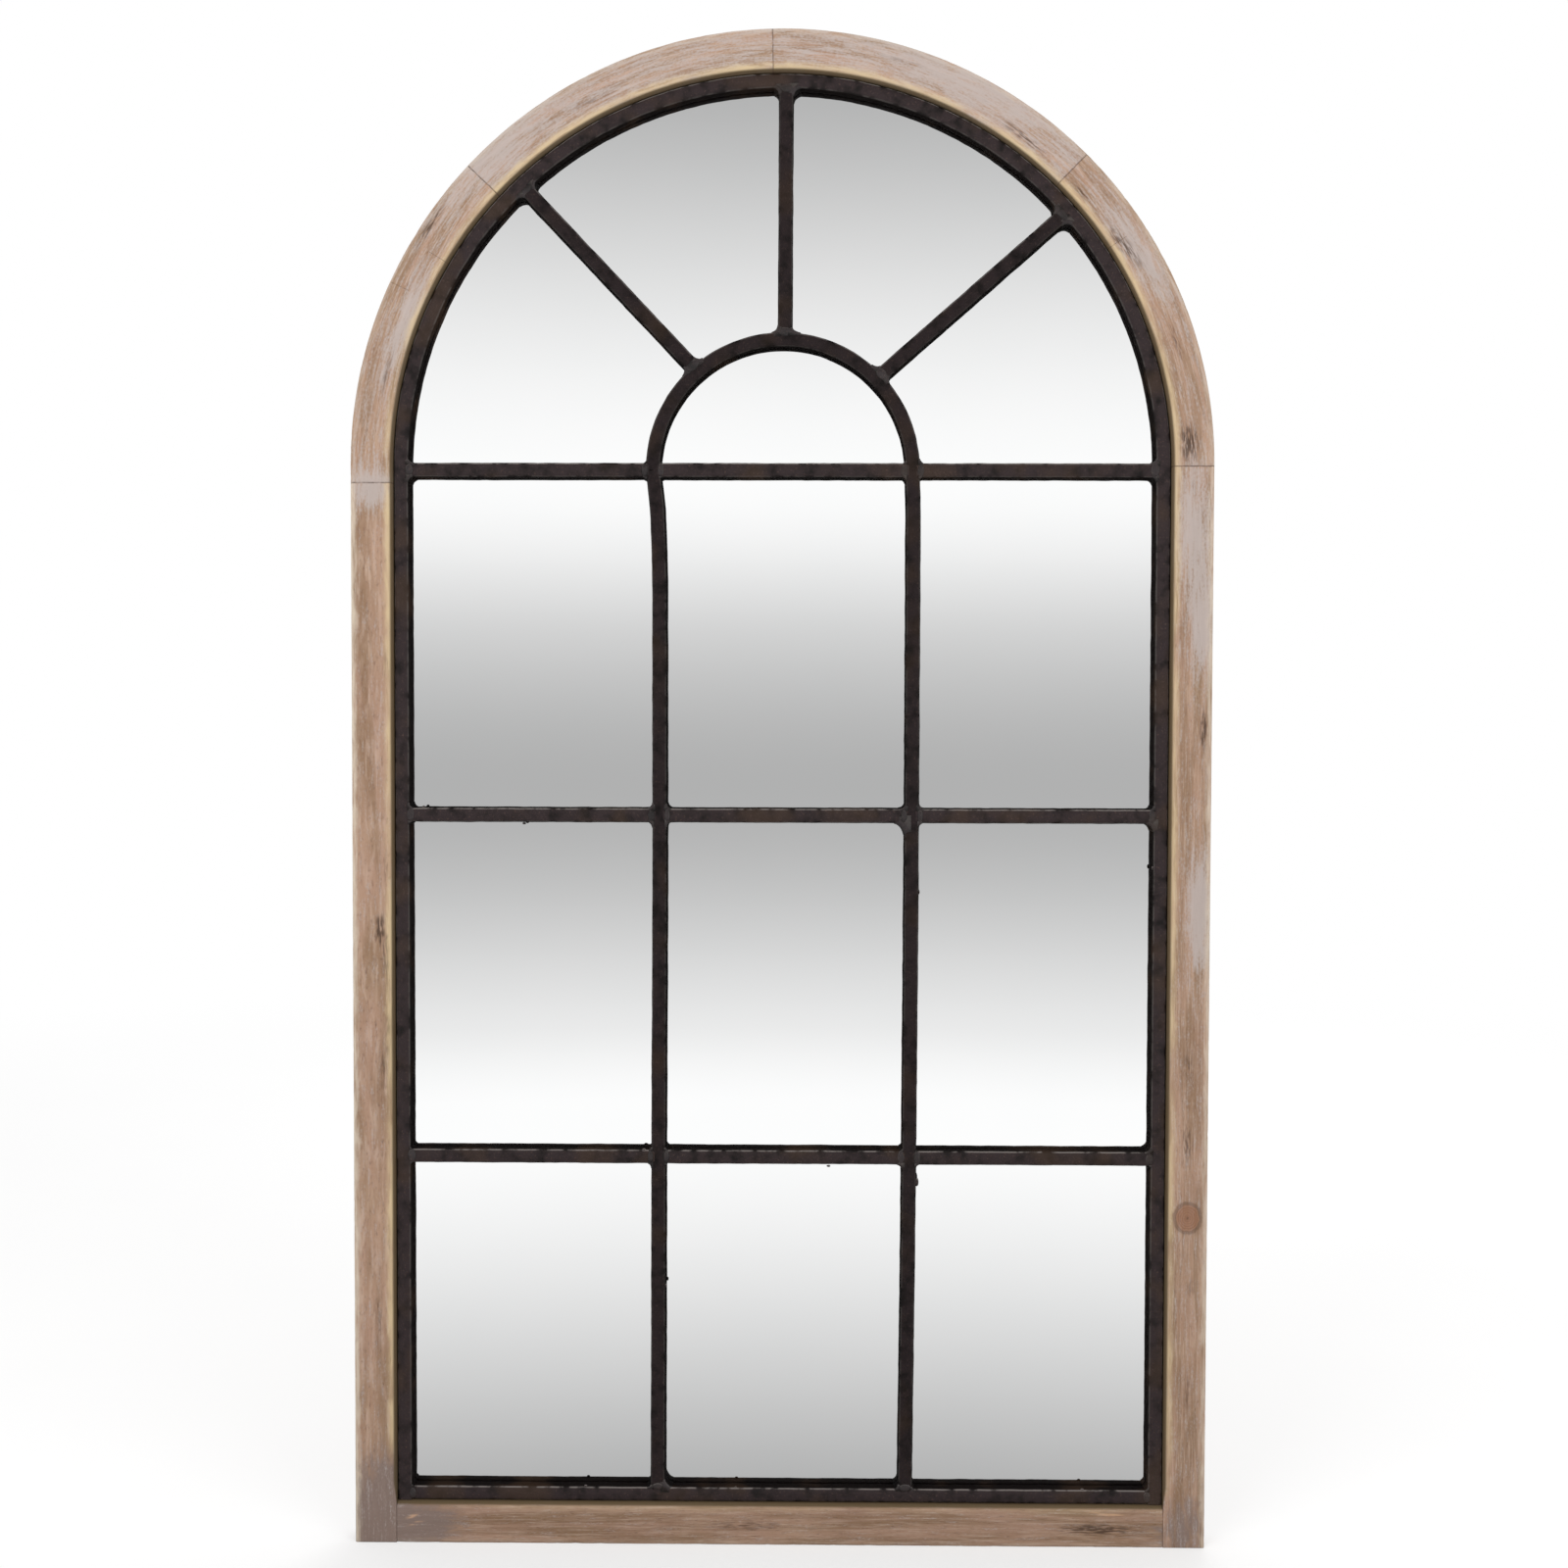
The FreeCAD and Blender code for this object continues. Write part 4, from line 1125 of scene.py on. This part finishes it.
def screw_recipe():
    """Stand screws on the base mesh's points, heads towards +Y."""
    tree, given = new_recipe("pan_head_screw", {
        "Head": "Float", "Height": "Float", "Shank": "Float", "Length": "Float", "Seed": "Int",
        "Finish": "Material"})
    head, height = given["Head"], given["Height"]

    def lifted(geometry, z):
        """A shape moved up its own axis."""
        shift = result(tree, "ShaderNodeCombineXYZ", {"Z": z})
        return result(tree, "GeometryNodeTransform", {"Geometry": geometry, "Translation": shift})

    crown, length, width, deep, down = (
        result(tree, "ShaderNodeMath", {0: size, 1: share}, operation="MULTIPLY")
        for size, share in (
            (head, crown_share), (head, recess_length), (head, recess_width), (height, recess_depth),
            (given["Length"], -0.5)))
    dome = result(tree, "GeometryNodeMeshCone", {
        "Vertices": 32, "Side Segments": 6, "Fill Segments": 3, "Depth": height,
        "Radius Top": crown, "Radius Bottom": head}, fill_type="TRIANGLE_FAN")
    cut = node(tree, "GeometryNodeMeshBoolean", {"Mesh 1": dome}, operation="DIFFERENCE", solver="EXACT")
    for wide, high in ((length, width), (width, length)):
        size = result(tree, "ShaderNodeCombineXYZ", {"X": wide, "Y": high, "Z": deep})
        blade = result(tree, "GeometryNodeMeshCube", {"Size": size})
        tree.links.new(lifted(blade, height), cut.inputs["Mesh 2"])
    shank = result(tree, "GeometryNodeMeshCylinder", {
        "Vertices": 16, "Radius": given["Shank"], "Depth": given["Length"]})
    both = node(tree, "GeometryNodeJoinGeometry")
    for part in (cut.outputs[0], lifted(shank, down)):
        tree.links.new(part, both.inputs[0])
    turn = node(tree, "FunctionNodeRandomValue", {"Min": 0.0, "Max": 1.57}, data_type="FLOAT")
    tree.links.new(given["Seed"], turn.inputs["Seed"])
    spin = result(tree, "ShaderNodeCombineXYZ", {"Z": turn.outputs["Value"]})
    spun = result(tree, "FunctionNodeEulerToRotation", {"Euler": spin})
    laid = result(tree, "FunctionNodeEulerToRotation", {"Euler": (-math.pi / 2, 0, 0)})
    facing = result(tree, "FunctionNodeRotateRotation", {
        "Rotation": laid, "Rotate By": spun}, rotation_space="LOCAL")
    places = result(tree, "GeometryNodeMeshToPoints", {"Mesh": given["Geometry"]})
    copies = result(tree, "GeometryNodeInstanceOnPoints", {
        "Points": places, "Instance": both.outputs[0], "Rotation": facing})
    return end_recipe(tree, copies, given["Finish"], smooth=False)


# %% Place the screws
def islands(name):
    """The box of each separate solid in a node."""
    work = bmesh.new()
    work.from_mesh(frame["nodes"][name].data)
    bmesh.ops.remove_doubles(work, verts=work.verts, dist=1e-6)
    found = []
    waiting = set(work.verts)
    while waiting:
        stack = [waiting.pop()]
        members = list(stack)
        while stack:
            for edge in stack.pop().link_edges:
                for vert in edge.verts:
                    if vert in waiting:
                        waiting.discard(vert)
                        stack.append(vert)
                        members.append(vert)
        low = Vector([min(vert.co[axis] for vert in members) for axis in range(3)])
        high = Vector([max(vert.co[axis] for vert in members) for axis in range(3)])
        found.append((low, high))
    work.free()
    return found


screws = screw_recipe()
screw_head = 1.8 * MM
for name, head, seed in (("backing_screws", 6.0, 5), ("hanger_screws", 5.6, 8)):
    seats = []
    for low, high in islands(name):
        seats.append(((low.x + high.x) / 2, high.y - screw_head, (low.z + high.z) / 2))
    piece = grown(name + "_driven", new_mesh(name, seats), screws, {
        "Head": head / 2 * MM, "Height": screw_head, "Shank": 1.5 * MM, "Length": 12 * MM,
        "Seed": seed, "Finish": zinc})
    piece.data.set_sharp_from_angle(angle=math.radians(30))
    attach(piece, "root")
    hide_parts(name)
    print(piece.name, len(seats), "screws")

# %% [markdown]
# ## Hangers
# Each hanger is a strip of sheet steel with a rounded foot, curled round a bent
# wire ring. The strip is a sheet of rows along its side view and columns across
# its width; the ring is a round wire swept along a D. The ring rides on its own
# body, because it swings.

# %% Hanger straps
strap_thick = 1.2 * MM
ring_wire = 2.4 * MM
curl_inner = ring_wire / 2 + 0.05 * MM
foot_corner = 2.4 * MM
tip_angle = -122             # where the curl ends, just short of the strip


def strap_rows(low, high, axis_y, axis_z):
    """Outer and inner places of the strip in its side view, from the foot to the tip."""
    heights = [low.z, low.z + foot_corner * 1.1]
    heights += [low.z + (axis_z - low.z) * part for part in (0.35, 0.65, 0.93)]
    rows = [((low.y, z), (low.y + strap_thick, z)) for z in heights]
    for index in range(25):
        angle = 180 + (tip_angle - 180) * index / 24
        turn = math.radians(angle)
        settle = max(0.0, (angle - 120) / 60)
        outer = curl_inner + strap_thick + settle * (axis_y - low.y - curl_inner - strap_thick)
        way = (math.cos(turn), math.sin(turn))
        rows.append((
            (axis_y + outer * way[0], axis_z + outer * way[1]),
            (axis_y + curl_inner * way[0], axis_z + curl_inner * way[1])))
    return rows


def strap_piece(name, axis_y, axis_z):
    """A strap in place of its node."""
    low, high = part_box(name)
    half = (high.x - low.x) / 2
    middle = (high.x + low.x) / 2
    columns = [half * part for part in (-1, -0.93, -0.8, -0.6, -0.3, 0, 0.3, 0.6, 0.8, 0.93, 1)]
    rows = strap_rows(low, high, axis_y, axis_z)
    points = []
    for layer in (0, 1):
        for number, row in enumerate(rows):
            for x in columns:
                beyond = max(0.0, abs(x) - (half - foot_corner))
                lift = foot_corner - math.sqrt(foot_corner ** 2 - beyond ** 2) if number == 0 else 0.0
                points.append((middle + x, row[layer][0], row[layer][1] + lift))
    wide = len(columns)
    sheet = len(rows) * wide
    faces = []
    for row in range(len(rows) - 1):
        for column in range(wide - 1):
            a = row * wide + column
            faces.append((a, a + 1, a + 1 + wide, a + wide))
            faces.append((sheet + a, sheet + a + wide, sheet + a + 1 + wide, sheet + a + 1))
        for column in (0, wide - 1):
            a = row * wide + column
            faces.append((a, a + wide, sheet + a + wide, sheet + a))
    for row in (0, len(rows) - 1):
        for column in range(wide - 1):
            a = row * wide + column
            faces.append((a, a + 1, sheet + a + 1, sheet + a))
    mesh = look_outwards(new_mesh(name, points, faces=faces))
    soften(mesh, 40)
    mesh.materials.append(zinc)
    return link_object(name + "_bent", mesh)


# %% Recipe for a round wire, and the path of a D
def wire_recipe():
    """Sweep a circle along the base mesh's closed chain."""
    tree, given = new_recipe("round_wire", {"Radius": "Float", "Finish": "Material"})
    curve = result(tree, "GeometryNodeMeshToCurve", {"Mesh": given["Geometry"]})
    circle = result(tree, "GeometryNodeCurvePrimitiveCircle", {"Resolution": 20, "Radius": given["Radius"]})
    swept = result(tree, "GeometryNodeCurveToMesh", {"Curve": curve, "Profile Curve": circle})
    return end_recipe(tree, swept, given["Finish"])


def d_path(name, middle, axis_y, axis_z):
    """Closed chain of points: a straight back on the axis, two corners, arms and a bow."""
    low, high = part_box(name)
    half = (high.x - low.x - ring_wire) / 2
    bend = 1.0 * MM
    bow_z = low.z + ring_wire / 2 + half
    outline = [(half - bend, axis_z)]
    for turn in reversed(quarter_turns(6)[:-1]):
        outline.append((half - bend + bend * math.cos(turn), axis_z - bend + bend * math.sin(turn)))
    for index in range(33):
        turn = math.pi * index / 32
        outline.append((half * math.cos(turn), bow_z - half * math.sin(turn)))
    outline += [(-x, z) for x, z in reversed(outline[:7])]
    points = [Vector((middle + x, axis_y, z)) for x, z in outline]
    return new_mesh(name, points, edges=[(i, (i + 1) % len(points)) for i in range(len(points))])


# %% Straps and rings in place
wires = wire_recipe()
for joint in frame["joints"]:
    side = joint["child"].split("_")[0]
    middle, axis_y, axis_z = joint["pos_m"]
    strap = strap_piece(side + "_hanger_strap", axis_y, axis_z)
    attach(strap, "root")
    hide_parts(side + "_hanger_strap")
    ring = grown(side + "_d_ring_wire", d_path(side + "_d_ring", middle, axis_y, axis_z), wires, {
        "Radius": ring_wire / 2, "Finish": zinc})
    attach(ring, joint["child"])
    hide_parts(side + "_d_ring")
    print(strap.name, len(strap.data.polygons), ring.name, len(ring.data.polygons), "faces")

# %% [markdown]
# ## Wall bumpers
# Two turned rubber feet keep the bottom off the wall. One is spun from a profile
# with a soft shoulder and a shallow dish, and the same recipe sets both.

# %% Bumpers
def bumper_mesh(radius, top_radius, height):
    """A bumper along +Y, spun from its profile."""
    shoulder = 0.9 * MM
    profile = [(radius, 0), (radius, 0.5 * MM), (top_radius + shoulder, height - 0.9 * MM)]
    profile += [(top_radius + shoulder * 0.6, height - 0.3 * MM), (top_radius, height)]
    profile += [(top_radius * 0.8, height - 0.1 * MM), (top_radius * 0.5, height - 0.5 * MM)]
    count = 40
    points = [(0, 0, 0), (0, height - 0.6 * MM, 0)]
    for across, up_by in profile:
        for index in range(count):
            turn = 2 * math.pi * index / count
            points.append((across * math.cos(turn), up_by, across * math.sin(turn)))
    faces = []
    for index in range(count):
        after = (index + 1) % count
        faces.append((0, 2 + index, 2 + after))
        last = 2 + (len(profile) - 1) * count
        faces.append((1, last + after, last + index))
        for ring_number in range(len(profile) - 1):
            base = 2 + ring_number * count
            faces.append((base + index, base + count + index, base + count + after, base + after))
    return look_outwards(new_mesh("bumper", points, faces=faces))


feet = islands("wall_bumpers")
low, high = feet[0]
bumper_radius = (high.x - low.x) / 2
bumper = bumper_mesh(bumper_radius, bumper_radius * 0.72, high.y - low.y)
bumper_shape = link_object("bumper_shape", bumper)
places = []
for low, high in feet:
    seat = Vector(((low.x + high.x) / 2, low.y, (low.z + high.z) / 2))
    places.append((seat, (0, 0, 0), (1, 1, 1)))
bumpers = set_shapes(
    "wall_bumpers_turned", bumper_shape, places, dents=0.0, dent_size=5.0, finish=rubber)
bumpers.data.set_sharp_from_angle(angle=math.radians(35))
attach(bumpers, "root")
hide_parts("wall_bumpers")
for shape in (fillet_shape, lump_shape, bumper_shape):
    bpy.data.objects.remove(shape)

# %% [markdown]
# ## Pieces that keep their own shape
# The glass, the board, the dowels, the tabs and the small fittings already have
# the right shape. They only take a finish.

# %% Finishes for the carried-over nodes
finishes = {
    "mirror_glass": mirror,
    "backing_board": hardboard,
    "corner_dowels": beech,
    "arch_dowels": beech,
    "grille_tabs": iron,
    "grille_tab_screws": zinc,
}
for name, finish in finishes.items():
    mesh = frame["nodes"][name].data
    mesh.materials.clear()
    mesh.materials.append(finish)

# %% [markdown]
# ## Studio
# The photograph is a cut-out on white. The mirror shows the room that it stood
# in: a soft band of light at the height of the lens and another below, grey
# between. Rays that reflect see that gradient by their own slope, other rays see
# even light, and the floor keeps only the shadow.

# %% Which rays see what
WHITE = (1, 1, 1, 1)


def ray_kinds(tree):
    """Whether a ray is seen directly or through something clear, and whether it reflects."""
    path = node(tree, "ShaderNodeLightPath").outputs
    seen = {0: path["Is Camera Ray"], 1: path["Is Transmission Ray"]}
    return result(tree, "ShaderNodeMath", seen, operation="MAXIMUM"), path["Is Glossy Ray"]


# %% World
fill_level = 0.62        # what diffuse surfaces receive
# How steeply a reflected ray climbs, and the grey that it sees.
band_greys = [
    (-0.47, 150), (-0.364, 181), (-0.2205, 253), (-0.157, 236), (-0.049, 180), (0.041, 210),
    (0.126, 254), (0.298, 181), (0.45, 150)]
world = bpy.data.worlds.new("studio")
bpy.context.scene.world = world
world.use_nodes = True
sky = world.node_tree
sky.nodes.clear()
direction = node(sky, "ShaderNodeTexCoord").outputs["Generated"]
slope = node(sky, "ShaderNodeSeparateXYZ", {0: direction}).outputs["Z"]
on_ramp = result(sky, "ShaderNodeMath", {0: slope, 1: 0.5}, operation="ADD")
bands = node(sky, "ShaderNodeValToRGB", {"Fac": on_ramp})
bands.color_ramp.interpolation = "CARDINAL"
while len(bands.color_ramp.elements) < len(band_greys):
    bands.color_ramp.elements.new(0.5)
for element, (height, grey) in zip(bands.color_ramp.elements, band_greys):
    element.position = height + 0.5
    element.color = linear("%02X%02X%02X" % (grey, grey, grey))
fill, seen, reflected = (
    result(sky, "ShaderNodeBackground", {"Color": colour, "Strength": strength})
    for colour, strength in ((WHITE, fill_level), (WHITE, 1.0), (bands.outputs[0], 1.0)))
direct, glossy = ray_kinds(sky)
lit = result(sky, "ShaderNodeMixShader", {0: direct, 1: fill, 2: seen})
everywhere = result(sky, "ShaderNodeMixShader", {0: glossy, 1: lit, 2: reflected})
node(sky, "ShaderNodeOutputWorld", {"Surface": everywhere})

# %% Floor
floor_half = 40.0        # in metres, as are the two distances between which the floor turns white
floor_near, floor_far = 1.2, 3.5


def pale_floor():
    """White to the eye apart from shadows, and nothing to a reflected ray."""
    material = bpy.data.materials.new("pale_floor")
    material.use_nodes = True
    tree = material.node_tree
    tree.nodes.clear()
    direct, glossy = ray_kinds(tree)
    place = node(tree, "ShaderNodeTexCoord").outputs["Object"]
    grain = result(tree, "ShaderNodeTexNoise", {"Vector": place, "Scale": 3.0})
    matt = result(tree, "ShaderNodeBsdfDiffuse", {
        "Color": coat(tree, linear("C4C4C4"), linear("C8C8C8"), grain)})
    nothing, glow, white = (
        result(tree, "ShaderNodeEmission", {"Color": WHITE, "Strength": strength})
        for strength in (0.0, 0.5, 1.0))
    lift = result(tree, "ShaderNodeMixShader", {0: direct, 1: nothing, 2: glow})
    solid = result(tree, "ShaderNodeAddShader", {0: matt, 1: lift})
    reach = node(tree, "ShaderNodeVectorMath", {0: place}, operation="LENGTH").outputs["Value"]
    far = shown(tree, [(reach, floor_near, floor_far)])
    blended = result(tree, "ShaderNodeMixShader", {0: far, 1: solid, 2: white})
    clear = result(tree, "ShaderNodeBsdfTransparent")
    whole = result(tree, "ShaderNodeMixShader", {0: glossy, 1: blended, 2: clear})
    node(tree, "ShaderNodeOutputMaterial", {"Surface": whole})
    return material


corners = [(side * floor_half, end * floor_half, 0) for side, end in ((-1, -1), (1, -1), (1, 1), (-1, 1))]
floor_mesh = new_mesh("floor", corners, faces=[(0, 1, 2, 3)])
floor_mesh.materials.append(pale_floor())
floor = link_object("floor", floor_mesh)
floor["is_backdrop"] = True

# %% Lamps
def soft_lamp(name, place, target, size, power):
    """A square soft box that lights diffuse surfaces and leaves reflections alone."""
    lamp = bpy.data.lights.new(name, "AREA")
    lamp.shape = "SQUARE"
    lamp.size = size
    lamp.energy = power
    made = link_object(name, lamp)
    made.location = place
    made.rotation_euler = (Vector(target) - Vector(place)).to_track_quat("-Z", "Y").to_euler()
    made.visible_glossy = False


aim = (0, 0, 0.6)
soft_lamp("front_left_box", (-1.7, -2.6, 2.2), aim, size=1.6, power=26)
soft_lamp("front_right_box", (1.9, -2.5, 1.9), aim, size=1.6, power=18)
soft_lamp("back_box", (0.6, 2.6, 2.4), aim, size=1.8, power=30)

# %% [markdown]
# ## Camera
# The lens stood a little above the middle of the mirror, tipped down by two
# degrees. Its place was found by fitting the corners of the surround and the
# crossings of the grille.

# %% Camera
camera_data = bpy.data.cameras.new("camera")
camera_data.sensor_width = 36
camera_data.lens = 45
camera = link_object("camera", camera_data)
lens_place = Vector((21.1, -1610.8, 681.9)) * MM
tip, swing, roll = math.radians(1.93), math.radians(0.66), math.radians(0.14)
ahead = Vector((-math.cos(tip) * math.sin(swing), math.cos(tip) * math.cos(swing), -math.sin(tip)))
right_way = Vector((math.cos(swing), math.sin(swing), 0))
up_way = right_way.cross(ahead)
rolled_right = right_way * math.cos(roll) + up_way * math.sin(roll)
rolled_up = up_way * math.cos(roll) - right_way * math.sin(roll)
turned = Matrix((rolled_right, rolled_up, -ahead)).transposed()
camera.matrix_world = Matrix.Translation(lens_place) @ turned.to_4x4()
bpy.context.scene.camera = camera
bpy.context.scene.view_settings.view_transform = "Standard"

# %% The sizes of the finished scene
low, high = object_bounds()
{"cad": [list(cad_low), list(cad_high)], "visual": [list(low), list(high)]}
print("visual box:", [round(v, 4) for v in (*low, *high)])
